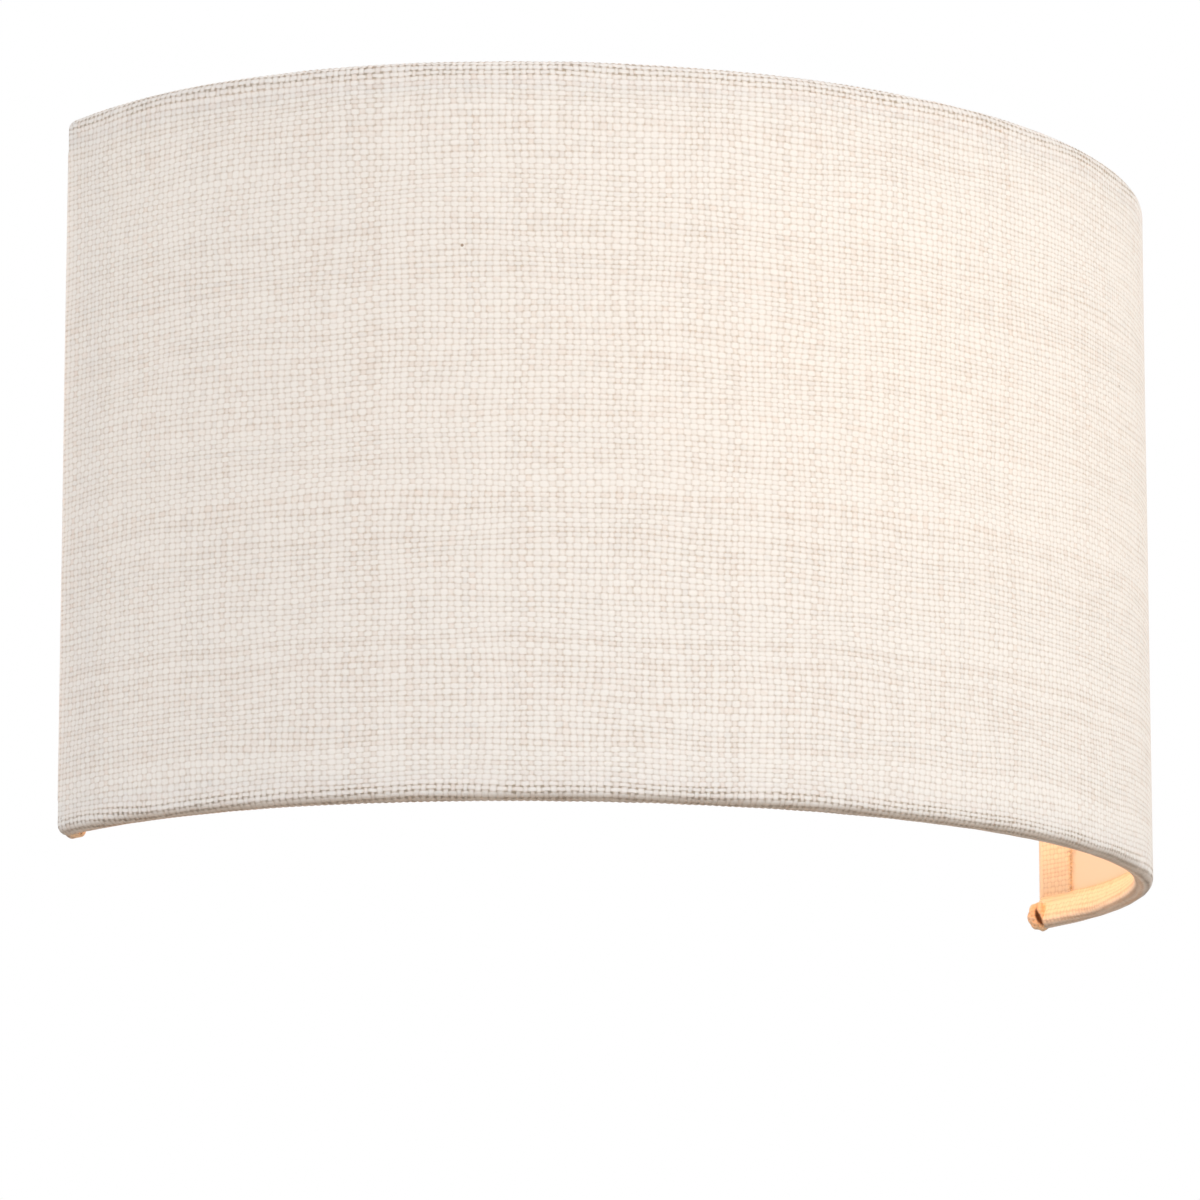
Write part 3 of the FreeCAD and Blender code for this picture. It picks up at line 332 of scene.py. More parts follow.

# %% [markdown]
# At each corner of the frame the rolled rim and the turned-in edge meet, and the spare cloth is pushed into a small
# knob with a dark pucker on its inner side. It starts as a ball over the end of the wire. Pleats run over it towards
# the pucker, which is pressed in as a slanting slit. One number on each corner of the knob tells the material what to
# paint: it is high in the slit, painted dark brown as shade, and middling in the fold bottoms and on the side that
# faces inwards, painted amber as lamp light.

# %% Gather the corners
KNOB = 3.4 * MM
KNOB_OUT = 141.6 * MM
KNOB_Y = -4.1 * MM
KNOB_Z = 81.9 * MM
KNOB_SHAPE = (0.98, 0.95, 1.1)
PLEATS, PLEAT_DEPTH, LUMP = 7, 0.055, 0.10
SLIT_WIDE, SLIT_LONG, SLIT_DEEP = 0.20, 0.55, 0.34  # of the knob's radius


def gathered_corner(side, level, name):
    """A knob of gathered cloth; side is -1 or 1 along the wall, level is -1 or 1 up."""
    knob = bmesh.new()
    knob_light_and_shade_layer = knob.verts.layers.float.new("knob_light_and_shade")
    bmesh.ops.create_icosphere(knob, subdivisions=5, radius=1.0)
    pucker = Vector((-side * 0.72, -0.62, level * 0.22)).normalized()
    upright = (Vector((0, 0, 1)) - pucker * pucker.z).normalized()
    sideways = pucker.cross(upright)
    slant = (upright * 0.92 + sideways * 0.4 * side).normalized()
    across = pucker.cross(slant)
    for corner in knob.verts:
        out = corner.co.normalized()
        polar = math.acos(max(-1.0, min(1.0, out.dot(pucker))))
        turn = math.atan2(out.dot(upright), out.dot(sideways))
        sway = noise.noise(out * 2.2 + Vector((side, level, 0)))
        pleat = math.cos(PLEATS * turn + 2.5 * sway)
        fan = math.sin(min(polar, math.pi / 2)) * max(0.0, math.cos(polar * 0.55))
        slit = (out.dot(across) / SLIT_WIDE) ** 2 + (out.dot(slant) / SLIT_LONG) ** 2
        reach = math.exp(-slit) if polar < 1.6 else 0.0
        lumps = LUMP * noise.noise(out * 1.7 + Vector((5 * side, 3 * level, 2)))
        size = 1.0 + PLEAT_DEPTH * pleat * fan + lumps - SLIT_DEEP * reach
        # the number for the painted light and shade: high in the slit, middling in the folds and on the inward side
        inward = max(0.0, min(1.0, 0.25 + 1.6 * out.dot(pucker)))
        corner[knob_light_and_shade_layer] = min(1.0, 1.15 * reach + 0.30 * max(0.0, -pleat) * fan + 0.34 * inward)
        corner.co = out * size
    centre = Vector((side * KNOB_OUT, KNOB_Y, level * KNOB_Z))
    bmesh.ops.scale(knob, vec=[KNOB * part for part in KNOB_SHAPE], verts=knob.verts)
    bmesh.ops.translate(knob, vec=centre, verts=knob.verts)
    uv = knob.loops.layers.uv.new("cloth")
    for face in knob.faces:
        outs = [loop.vert.co - centre for loop in face.loops]
        bearings = [math.atan2(out.y, out.x) for out in outs]
        for loop, bearing in zip(face.loops, bearings):
            bearing -= 2 * math.pi * round((bearing - bearings[0]) / (2 * math.pi))
            loop[uv].uv = (bearing * KNOB, loop.vert.co.z)
    bmesh.ops.recalc_face_normals(knob, faces=knob.faces)
    return into_object(knob, name, "shade")


corners = [
    gathered_corner(side, level, "gathered_corner_%s_%s" % (where, height))
    for side, where in ((-1, "left"), (1, "right"))
    for level, height in ((1, "top"), (-1, "bottom"))
]

# %% [markdown]
# The turned-in strips are cut, not hemmed, so loose ends of the level threads stand out of their inner edges. There
# is one end to each thread, which makes a few hundred, so each is only a tapered six-sided stub. They are laid along
# the strip's edge with seeded randomness: the same on every run.

# %% Fray the cut edges
FRAY_LONG, FRAY_THICK = (0.6, 2.8), (0.14, 0.24)  # in millimetres, shortest to longest and thinnest to thickest
FRAY_ROOT = 1.0 * MM  # how much of each stub is hidden in the cloth
FRAY_STEP = (0.5, 0.9)  # from one stub to the next, in level threads
random.seed(4)
frays = bmesh.new()
for side, centre in ((-1, LEFT_CENTRE), (1, RIGHT_CENTRE)):
    z = -TUCK_Z + 0.5 * MM
    while z < TUCK_Z:
        long = random.uniform(*FRAY_LONG) * MM * (1.6 if random.random() < 0.08 else 1.0)
        thick = random.uniform(*FRAY_THICK) * MM
        cone = bmesh.ops.create_cone(
            frays, cap_ends=True, segments=6, radius1=thick, radius2=thick * 0.35, depth=long + FRAY_ROOT
        )
        angle = EDGE_START + turned_in + (long - FRAY_ROOT) / 2 / END_RADIUS
        bearing = math.pi + angle if side < 0 else -angle
        heading = bearing - side * math.pi / 2
        radius = END_RADIUS - TUCK_INSET - random.uniform(-0.1, 0.35) * MM
        forward = Vector((math.cos(heading), math.sin(heading), random.uniform(-0.35, 0.35))).normalized()
        place = centre + Vector((math.cos(bearing) * radius, math.sin(bearing) * radius, z))
        bmesh.ops.rotate(frays, verts=cone["verts"], cent=(0, 0, 0), matrix=forward.to_track_quat("Z", "Y").to_matrix())
        bmesh.ops.translate(frays, verts=cone["verts"], vec=place)
        z += WEFT_PITCH * random.uniform(*FRAY_STEP)
frayed_ends = into_object(frays, "frayed_ends", "shade")

# %% [markdown]
# The hanger wire is welded to the straight run of the top rim. A real resistance weld leaves a low, uneven bead on
# each side of the joint. Each bead here is a ball, flattened along the wire and roughened a little.

# %% Weld beads
WELD_X = 35.0 * MM
WELD_Y = -7.0 * MM
WELD_Z = 82.65 * MM
WELD_SIZE = (2.3 * MM, 0.75 * MM, 1.75 * MM)
beads = bmesh.new()
for side in (-1, 1):
    made = bmesh.ops.create_icosphere(beads, subdivisions=3, radius=1.0)["verts"]
    for corner in made:
        corner.co *= 1.0 + 0.14 * noise.noise(corner.co * 2.6 + Vector((7 * side, 0, 0)))
    bmesh.ops.scale(beads, vec=WELD_SIZE, verts=made)
    bmesh.ops.translate(beads, vec=(side * WELD_X, WELD_Y, WELD_Z), verts=made)
weld_beads = into_object(beads, "weld_beads", "shade")

# %% [markdown]
# A short flex leaves the rubber grommet in the backplate, sags below the bracket and comes up into the hollow nipple
# under the lampholder. It is a round sheathed lead, held at both ends, so it takes the easiest curve between them.
# One smooth NURBS line with a round bevel is all that such a lead needs.

# %% The lampholder's flex
FLEX = 4.4 * MM
flex_route = [
    (0, -14.0, -50.0),
    (0, -31.0, -50.0),
    (0, -41.3, -57.8),
    (0, -51.2, -66.6),
    (0, -62.2, -65.1),
    (0, -68.6, -54.9),
    (0, -68.0, -38.0),
]
flex_data = bpy.data.curves.new("lampholder_lead", "CURVE")
flex_data.dimensions = "3D"
flex_line = flex_data.splines.new("NURBS")
flex_line.points.add(len(flex_route) - 1)
for point, (x, y, z) in zip(flex_line.points, flex_route):
    point.co = (x * MM, y * MM, z * MM, 1.0)
    point.radius = FLEX / 2  # the points carry the thickness, so the curve knows its true bounds
flex_line.order_u = 3
flex_line.use_endpoint_u = True
flex_line.resolution_u = 12
flex_data.bevel_depth = 1.0
flex_data.bevel_resolution = 8
flex_data.use_fill_caps = True
lampholder_lead = bpy.data.objects.new("lampholder_lead", flex_data)
scene.collection.objects.link(lampholder_lead)
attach(lampholder_lead, "fitting")
print("flex: %d control points" % len(flex_route))

# %% [markdown]
# Every finish below is worked out by nodes, with no picture files. Node trees are mostly small sums, so helpers come
# first, as a class that draws in one tree. It adds a node with its settings, a line of arithmetic as Math nodes, and
# what nearly every finish has: a noise, a smooth step, a blend, a bump and a shader.

# %% Node helpers
class Sketch:
    """A node tree being drawn. Each method adds nodes and gives back what comes out of them."""

    def __init__(self, tree):
        self.tree = tree
        tree.nodes.clear()

    def give(self, value, socket):
        """Links an output to a socket, or sets the socket's own value. Colours are written without alpha."""
        if isinstance(value, bpy.types.NodeSocket):
            self.tree.links.new(value, socket)
        else:
            socket.default_value = (*value, 1) if socket.type == "RGBA" else value

    def node(self, kind, settings=(), values=()):
        """Any shader node, with its settings and inputs. Gives back all its outputs."""
        made = self.tree.nodes.new("ShaderNode" + kind)
        for name, value in dict(settings).items():
            setattr(made, name, value)
        for name, value in dict(values).items():
            self.give(value, made.inputs[name])
        return made.outputs

    def sum(self, operation, *terms):
        return self.node("Math", {"operation": operation}, enumerate(terms))[0]

    def plus(self, a, b):
        return self.sum("ADD", a, b)

    def minus(self, a, b):
        return self.sum("SUBTRACT", a, b)

    def times(self, a, b):
        return self.sum("MULTIPLY", a, b)

    def swing(self, value, amount):
        """A value from 0 to 1, made to swing to both sides of zero."""
        return self.times(self.minus(value, 0.5), amount)

    def place(self):
        return self.node("TexCoord")["Object"]

    def noise(self, place, scale, detail=2.0, roughness=0.5, settings=()):
        """A noise value from 0 to 1 at a place, with about scale lumps to a metre."""
        values = {"Vector": place, "Scale": scale, "Detail": detail, "Roughness": roughness}
        return self.node("TexNoise", settings, values)[0]

    def band(self, value, start, end, low=0.0, high=1.0, way="SMOOTHSTEP"):
        """A step from low to high as value goes from start to end."""
        ends = {"Value": value, "From Min": start, "From Max": end, "To Min": low, "To Max": high}
        return self.node("MapRange", {"interpolation_type": way}, ends)[0]

    def blend(self, amount, first, second, way="MIX"):
        """Two colours mixed by an amount."""
        return self.node("Mix", {"data_type": "RGBA", "blend_type": way}, {0: amount, 6: first, 7: second})[2]

    def bump(self, height, strength, depth):
        """A normal that leans with a height."""
        return self.node("Bump", {}, {"Height": height, "Strength": strength, "Distance": depth})[0]

    def skin(self, colour, rough, others):
        """A Principled shader."""
        return self.node("BsdfPrincipled", {}, {"Base Color": colour, "Roughness": rough, **others})[0]

    def mix(self, amount, first, second):
        return self.node("MixShader", {}, {0: amount, 1: first, 2: second})[0]

    def clear(self, colour=(1, 1, 1)):
        return self.node("BsdfTransparent", {}, {"Color": colour})[0]

    def unshadowed(self, shown, colour=(1, 1, 1)):
        """The same shader, see-through in a colour to shadow rays."""
        return self.mix(self.node("LightPath")["Is Shadow Ray"], shown, self.clear(colour))


class Finish(Sketch):
    """A new material."""

    def __init__(self, name):
        self.material = bpy.data.materials.new(name)
        self.material.use_nodes = True
        super().__init__(self.material.node_tree)

    def shows(self, shader):
        self.node("OutputMaterial", {}, {"Surface": shader})
        return self.material


class Group(Sketch):
    """A new node group, from its inputs with their values and its outputs' names."""

    def __init__(self, name, inputs, outputs):
        super().__init__(bpy.data.node_groups.new(name, "ShaderNodeTree"))
        for title, value in inputs.items():
            kind = "NodeSocketFloat" if isinstance(value, float) else "NodeSocketVector"
            self.tree.interface.new_socket(title, in_out="INPUT", socket_type=kind).default_value = value
        for title in outputs:
            self.tree.interface.new_socket(title, in_out="OUTPUT", socket_type="NodeSocketFloat")
        self.given = self.tree.nodes.new("NodeGroupInput").outputs
        self.results = self.tree.nodes.new("NodeGroupOutput").inputs

    def ends(self, values):
        for title, value in values.items():
            self.give(value, self.results[title])
        return self.tree


def dress(piece, material):
    """Gives a new piece its one finish."""
    piece.data.materials.clear()
    piece.data.materials.append(material)


def dress_nodes(material, names):
    """Gives CAD nodes one finish, in every material slot they have."""
    for name in names.split():
        slots = nodes[name].material_slots
        for slot in slots:
            slot.material = material
        if not slots:
            nodes[name].data.materials.append(material)


print("node helpers ready")

# %% [markdown]
# The linen look is a plain weave: each level thread goes over one upright thread and under the next. The weave group
# counts threads both ways from the UV map. In each little cell it asks how high the upright thread stands and how high
# the level thread stands, and keeps the higher one. Where neither covers the place there is a pinhole. Real linen
# look is uneven, so the rows sway, each thread has its own width and tone, and slubs make both drift along it. Over
# the rims the weave is stretched, so an extra input opens it there, the level threads more than the upright ones.

# %% The weave
WARP_SWAY, WEFT_SWAY = (60.0, 35.0, 1.5), (22.0, 70.0, 2.4)  # lumps to a metre both ways, and threads of sway
WARP_THREAD = {"seed": 0.37, "width": 0.84, "tall": 0.50, "bend": 0.34, "opens": 0.10}
WEFT_THREAD = {"seed": 311.7, "width": 1.02, "tall": 0.66, "bend": -0.34, "opens": 0.30}
OWN_WIDTH, SLUB_WIDTH, RAGGED, NARROWEST = 0.22, 0.50, 0.55, 0.4  # in threads
SLUBS, RAGS, FIBRES = 0.16, 0.85, 2.7  # lumps to a thread
OWN_TONE, SLUB_TONE, FIBRE_TONE, BEAD_TONE = 0.45, 0.34, 0.5, 0.45
BOTTOM, PINHOLE_BAND, FIBRE_HEIGHT = -0.35, (0.20, -0.20), 0.14
FLAT = {"noise_dimensions": "2D"}


def build_weave():
    t = Group(
        "plain weave",
        {"Place": (0, 0, 0), "Warp Pitch": WARP_PITCH, "Weft Pitch": WEFT_PITCH, "Open": 0.0},
        ["Height", "Pinhole", "Tone", "Tint"],
    )
    parts = t.node("SeparateXYZ", {}, {"Vector": t.given["Place"]})
    u, v = parts["X"], parts["Y"]

    def at_place(x, y):
        return t.node("CombineXYZ", {}, {"X": x, "Y": y})[0]

    def noise_at(x, y, detail=1.0):
        return t.noise(at_place(x, y), 1.0, detail, settings=FLAT)

    def random_at(number):
        return t.node("TexWhiteNoise", {"noise_dimensions": "1D"}, {"W": number})["Value"]

    def count(distance, pitch, sway):
        """Threads up to a place, with a fraction, as the threads sway."""
        across, up, amount = sway
        drift = noise_at(t.times(u, across), t.times(v, up))
        return t.plus(t.sum("DIVIDE", distance, t.given[pitch]), t.swing(drift, amount))

    warp, weft = count(u, "Warp Pitch", WARP_SWAY), count(v, "Weft Pitch", WEFT_SWAY)
    warp_number, weft_number = t.sum("FLOOR", warp), t.sum("FLOOR", weft)
    warp_at = t.minus(t.minus(warp, warp_number), 0.5)
    weft_at = t.minus(t.minus(weft, weft_number), 0.5)
    odd = t.sum("FLOORED_MODULO", t.plus(warp_number, weft_number), 2.0)
    over = t.minus(1.0, t.times(odd, 2.0))

    def thread(at, along, number, across, seed, width, tall, bend, opens):
        """One way's threads: their own numbers, their slubs, and how high they stand."""
        own = random_at(t.plus(number, seed))
        slub = noise_at(t.times(number, 7.31), t.times(along, SLUBS), 2.0)
        spread = t.plus(t.swing(own, OWN_WIDTH), t.swing(slub, SLUB_WIDTH))
        wide = t.minus(t.plus(spread, width), t.times(t.given["Open"], opens))
        ragged = noise_at(t.times(number, 5.17), t.times(along, RAGS))
        off = t.plus(t.times(at, 2.0), t.swing(ragged, RAGGED))
        off = t.sum("DIVIDE", off, t.sum("MAXIMUM", wide, NARROWEST))
        left = t.minus(1.0, t.times(off, off))
        body = t.times(t.sum("SQRT", t.sum("MAXIMUM", left, 0.0)), tall)
        body = t.minus(body, t.sum("LESS_THAN", left, 0.0))
        crossing = t.sum("COSINE", t.times(across, math.pi))
        return own, slub, t.plus(body, t.times(t.times(over, bend), crossing))

    warp_own, warp_slub, warp_high = thread(warp_at, weft, warp_number, weft_at, **WARP_THREAD)
    weft_own, weft_slub, weft_high = thread(weft_at, warp, weft_number, warp_at, **WEFT_THREAD)
    height = t.sum("MAXIMUM", t.sum("MAXIMUM", warp_high, weft_high), BOTTOM)
    warp_top = t.sum("GREATER_THAN", warp_high, weft_high)

    def chosen(of_warp, of_weft):
        return t.plus(t.times(of_warp, warp_top), t.times(of_weft, t.minus(1.0, warp_top)))

    own, slub = chosen(warp_own, weft_own), chosen(warp_slub, weft_slub)
    fibre = noise_at(t.times(warp, FIBRES), t.times(weft, FIBRES), 2.0)
    bead = t.node("TexWhiteNoise", FLAT, {"Vector": at_place(warp_number, weft_number)})["Value"]
    tone = t.plus(t.times(own, OWN_TONE), t.times(slub, SLUB_TONE))
    number = chosen(warp_number, t.plus(weft_number, 977.0))
    return t.ends({
        "Height": t.plus(height, t.times(fibre, FIBRE_HEIGHT)),
        "Pinhole": t.band(height, *PINHOLE_BAND),
        "Tone": t.plus(t.plus(tone, t.swing(fibre, FIBRE_TONE)), t.swing(bead, BEAD_TONE)),
        "Tint": random_at(t.plus(number, 0.5)),
    })


weave = build_weave()
print("weave: %d nodes" % len(weave.nodes))

# %% [markdown]
# The threads' tones colour the face. The dips between threads are painted darker as shade and their tops a touch
# lighter as a highlight. The pinholes are painted warm and paler over the lining, as the lamp-lit sheet behind them,
# and dark over the rims, as shade. The underside is painted greyer as shade, the tucked-in cloth is painted warmer as
# lamp light, the loose ends warmer and darker as lamp light and shade, and the knobs' folds amber, as lamp light, to
# brown, as shade in the slit.
#
# Cloth in front of a lamp does two things at once. It sends back the room's light from its face, and it lets some of
# the lamp's light through. So the shader is a Principled mixed with a Translucent one, and the pinholes let more
# through than the threads. Light from the lamp must pass the inner layers to get to the face, and those layers would
# stop it: the face is only a hair in front of them. For shadow rays alone, the inner side of the cloth is clear. Past
# the lining's edge a hem holds back as much light as the lining does, or each rim would have a bright line.

# %% The cloth's finish
PALE_THREAD = (0.962, 0.944, 0.918)
WARM_THREAD = (0.915, 0.850, 0.800)
COOL_THREAD = (0.905, 0.905, 0.895)
DIP_SHADE = (0.715, 0.645, 0.585)  # painted shade: what the dips between threads keep of the thread's colour
TOP_HIGHLIGHT = (1.05, 1.05, 1.05)  # and, as a painted highlight, what the tops of the threads keep
FACE_PINHOLE_SHADE_AND_GLOW = (0.700, 0.580, 0.500)  # painted: a pinhole in the face, darkened as shade and warmed as the lamp-lit lining behind it
RIM_PINHOLE_SHADE = (0.250, 0.228, 0.200)  # painted shade: a pinhole over the rim, where the cloth is stretched open and nothing lit lies behind
# painted shade on the bottom rim's underside, which faces away from the lights
UNDERSIDE_SHADE = (0.53, 0.47, 0.41)
INSIDE_LAMP_TINT = (1.0, 0.92, 0.74)  # painted lamp light: the tucked-in cloth is made warmer, as the lamp inside lights it
KNOB_LAMP_AMBER = (0.91, 0.60, 0.34)  # painted lamp light: amber on a corner knob's inward side and in its shallow folds
# painted shade: dark brown in the slit of a corner knob
SLIT_SHADE = (0.130, 0.055, 0.022)
# painted lamp light and shade: the loose ends inside the shade are warmer and darker
FRAY_GLOW_AND_SHADE = (0.80, 0.60, 0.40)
FLECK = (0.30, 0.22, 0.17)
FLECKS = [(-0.0971, -0.0986, 0.0416), (0.0869, -0.1060, 0.0310)]  # two specks of dark fibre spun into the yarn
THROUGH = (0.96, 0.90, 0.80)
CLOTH_PASS, HEM_PASS = (0.97, 0.96, 0.94), (0.10, 0.165, 0.20)  # what shadow rays keep, and past the lining's edge
RIM_BAND = (80.4 * MM, 81.6 * MM)  # where the stretched cloth of the rims begins, up or down
UNDERSIDE_SHADE_BAND = (-82.8 * MM, -84.8 * MM)
BARE_BAND = (76.9 * MM, 78.2 * MM)  # the lining's edge
FLECK_BAND = (0.45 * MM, 0.25 * MM)
CLOTH_GLOSS = {"Specular IOR Level": 0.25, "Sheen Weight": 0.12, "Sheen Roughness": 0.5}


def build_linen(name, frayed=False):
    t = Finish(name)
    solid_place = t.place()
    place = solid_place if frayed else t.node("UVMap", {"uv_map": "cloth"})[0]
    inside = t.node("Attribute", {"attribute_name": "inside"})["Fac"]
    knob_light_and_shade = t.node("Attribute", {"attribute_name": "knob_light_and_shade"})["Fac"]
    height_up = t.node("SeparateXYZ", {}, {"Vector": solid_place})["Z"]
    from_middle = t.sum("ABSOLUTE", height_up)
    rim = t.band(from_middle, *RIM_BAND)
    woven = t.node("Group", {"node_tree": weave}, {"Place": place, "Open": rim})
    pinhole, height = woven["Pinhole"], woven["Height"]

    tint = t.blend(t.times(woven["Tint"], 0.8), WARM_THREAD, COOL_THREAD)
    thread = t.blend(t.band(woven["Tone"], 0.03, 0.54), tint, PALE_THREAD)
    thread = t.blend(t.times(t.noise(solid_place, 24.0, 3.0), 0.10), thread, WARM_THREAD)
    # how proud the cloth stands: dips get painted shade, tops a painted highlight, both milder on the inner cloth
    painted_relief = t.sum("MAXIMUM", t.band(height, 0.12, 0.92), t.times(inside, 0.45))
    thread = t.blend(1.0, thread, t.blend(painted_relief, DIP_SHADE, TOP_HIGHLIGHT), "MULTIPLY")
    # how much painted pinhole colour shows: more over the rims, less on the tucked-in cloth
    depth = t.times(pinhole, t.plus(0.35, t.times(rim, 0.60)))
    depth = t.times(depth, t.minus(1.0, t.times(inside, 0.65)))
    colour = t.blend(depth, thread, t.blend(rim, FACE_PINHOLE_SHADE_AND_GLOW, RIM_PINHOLE_SHADE))
    # painted shade: the underside of the bottom rim is made greyer
    colour = t.blend(t.band(height_up, *UNDERSIDE_SHADE_BAND), colour, UNDERSIDE_SHADE, "MULTIPLY")
    # painted lamp light: the cloth inside the shade is made warmer
    colour = t.blend(inside, colour, INSIDE_LAMP_TINT, "MULTIPLY")
    if frayed:
        # painted lamp light and shade on the loose ends
        colour = t.blend(0.6, colour, FRAY_GLOW_AND_SHADE)
    # the corner knobs: painted amber as lamp light, then dark brown as shade in the slit
    colour = t.blend(t.band(knob_light_and_shade, 0.0, 0.45, 0.0, 0.85), colour, KNOB_LAMP_AMBER)
    colour = t.blend(t.band(knob_light_and_shade, 0.45, 0.95), colour, SLIT_SHADE)
    for spot in FLECKS:
        away = t.node("VectorMath", {"operation": "DISTANCE"}, {0: solid_place, 1: spot})["Value"]
        colour = t.blend(t.band(away, *FLECK_BAND), colour, FLECK)

    normal = t.bump(height, t.minus(0.7, t.times(inside, 0.4)), 0.32 * MM)
    face = t.skin(colour, 0.88, {"Normal": normal, **CLOTH_GLOSS})
    # the light let through is painted darker in a knob's slit, as shade
    lit = t.node("BsdfTranslucent", {}, {"Color": t.blend(knob_light_and_shade, THROUGH, SLIT_SHADE), "Normal": normal})[0]
    shown = t.mix(t.plus(0.21, t.times(pinhole, 0.30)), face, lit)
    if not frayed:
        behind = t.node("NewGeometry")["Backfacing"]
        bare = t.times(t.band(from_middle, *BARE_BAND), t.minus(1.0, behind))
        passed = t.times(t.node("LightPath")["Is Shadow Ray"], t.sum("MAXIMUM", behind, inside))
        shown = t.mix(passed, shown, t.clear(t.blend(bare, CLOTH_PASS, HEM_PASS)))
    return t.shows(shown)


linen = build_linen("linen weave")
for piece in [linen_cover] + corners:
    dress(piece, linen)
dress(frayed_ends, build_linen("loose linen thread", frayed=True))
print("cloth finished on", 2 + len(corners), "pieces")

# %% [markdown]
# The lining is a thin, stiff, warm-white plastic sheet. It glows where the lamp lights it and lets a part of that
# light through to the cloth. The same trick as the cloth's lets shadow rays pass it, with the tint that the sheet
# gives them.

# %% The lining's finish
LINING_PASS = (0.322, 0.422, 0.440)  # what a shadow ray keeps through each face of the sheet
LINING_PALE, LINING_WARM = (0.92, 0.82, 0.69), (0.88, 0.78, 0.64)
LINING_THROUGH = (0.88, 0.82, 0.72)


def build_lining():
    t = Finish("lining sheet")
    place = t.place()
    cloud = t.noise(place, 30.0, 4.0)
    normal = t.bump(t.noise(place, 2600.0, 2.0), 0.12, 0.05 * MM)
    rough = t.plus(0.50, t.times(cloud, 0.12))
    sheet = t.skin(t.blend(cloud, LINING_WARM, LINING_PALE), rough, {"Normal": normal})
    lit = t.node("BsdfTranslucent", {}, {"Color": LINING_THROUGH})[0]
    return t.shows(t.unshadowed(t.mix(0.22, sheet, lit), LINING_PASS))


dress_nodes(build_lining(), "shade_lining")
print("lining finished")

# %% [markdown]
# Most of the fitting is sheet and wire with a white powder coat. Powder melts into a skin with a faint orange-peel
# ripple. Real powder is thinner and a little greyer where it pulled away from the metal's edges; here the grey comes in
# broad scattered patches instead. Plated steel, brass and aluminium carry fine lines from drawing and pressing. Two
# groups hold what these finishes share: a fine grain, and drawn lines along one axis.

# %% Shared effects for the hard parts
def build_grain():
    t = Group(
        "fine grain",
        {"Place": (0, 0, 0), "Size": 900.0, "Low": 0.35, "High": 0.55},
        ["Roughness", "Height", "Stain"],
    )
    place, low = t.given["Place"], t.given["Low"]
    fine, broad = t.noise(place, t.given["Size"], 3.0), t.noise(place, 45.0, 4.0, 0.6)
    both = t.plus(t.times(fine, 0.5), t.times(broad, 0.5))
    rough = t.plus(low, t.times(t.minus(t.given["High"], low), both))
    return t.ends({"Roughness": rough, "Height": fine, "Stain": t.band(broad, 0.46, 0.74)})


def build_drawn_lines():
    t = Group("drawn lines", {"Place": (0, 0, 0), "Stretch": (1, 1, 1), "Size": 1500.0}, ["Line", "Wear"])
    place = t.given["Place"]
    drawn = t.node("VectorMath", {"operation": "MULTIPLY"}, {0: place, 1: t.given["Stretch"]})[0]
    return t.ends({"Line": t.noise(drawn, t.given["Size"], 3.0, 0.6), "Wear": t.noise(place, 120.0, 4.0, 0.65)})


grain = build_grain()
drawn_lines = build_drawn_lines()
print("shared effects:", grain.name, "and", drawn_lines.name)

# %% [markdown]
# The moulded and coated finishes differ only in colour, grain size and gloss: powder coat, holder plastic, the flex's
# sheath, rubber, the glazed ceramic, the glass insulator and the lamp's boards. So one loop makes them from a table.

# %% Coated and moulded finishes
POWDER_COATED = "top_rim_wire bottom_rim_wire hanger_wire backplate shade_hook_left shade_hook_right lamp_bracket"
# name: colour, stained colour, grains to a metre, roughness low and high, grain depth in mm, clear coat, specular,
# and the CAD nodes that have it
COATED = {
    "white powder coat": [(0.84, 0.835, 0.815), (0.74, 0.725, 0.69), 700.0, 0.32, 0.52, 0.09, 0.15, 0.5, POWDER_COATED],
    "white holder plastic": [
        (0.83, 0.82, 0.79), (0.76, 0.74, 0.69), 1800.0, 0.36, 0.55, 0.05, 0.0, 0.5,
        "holder_base holder_skirt terminal_block",
    ],
    "glossy white collar": [(0.86, 0.855, 0.84), (0.81, 0.80, 0.77), 400.0, 0.16, 0.28, 0.02, 0.5, 0.5, "bulb_collar"],
    "glazed ceramic": [(0.80, 0.79, 0.74), (0.66, 0.63, 0.56), 320.0, 0.10, 0.30, 0.12, 0.8, 0.5, "holder_core"],
    "black insulator glass": [
        (0.012, 0.012, 0.016), (0.035, 0.03, 0.03), 500.0, 0.06, 0.20, 0.03, 0.6, 0.5, "bulb_insulator"
    ],
    "black rubber": [(0.022, 0.021, 0.021), (0.075, 0.07, 0.066), 2200.0, 0.58, 0.82, 0.06, 0.0, 0.35, "cable_grommet"],
    "white flex sheath": [(0.80, 0.795, 0.77), (0.68, 0.66, 0.61), 1500.0, 0.40, 0.58, 0.05, 0.0, 0.4, ""],
    "brown core sheath": [(0.155, 0.062, 0.024), (0.10, 0.045, 0.02), 1500.0, 0.32, 0.50, 0.03, 0.0, 0.5, "live_wire"],
    "blue core sheath": [(0.022, 0.115, 0.42), (0.02, 0.085, 0.30), 1500.0, 0.32, 0.50, 0.03, 0.0, 0.5, "neutral_wire"],
    "green driver board": [(0.025, 0.16, 0.065), (0.015, 0.09, 0.04), 600.0, 0.25, 0.5, 0.08, 0.3, 0.5, "bulb_driver"],
    "white LED board": [(0.82, 0.82, 0.80), (0.74, 0.73, 0.70), 900.0, 0.25, 0.4, 0.03, 0.2, 0.5, "bulb_led_board"],
    "yellow phosphor": [(0.85, 0.62, 0.08), (0.75, 0.50, 0.05), 1200.0, 0.3, 0.5, 0.02, 0.2, 0.5, "bulb_leds"],
}
UNSHADOWED = ("white LED board", "yellow phosphor")  # inside the globe, where they would stop the lamp's light


def grained(t, size, low, high):
    values = {"Place": t.place(), "Size": size, "Low": low, "High": high}
    return t.node("Group", {"node_tree": grain}, values)


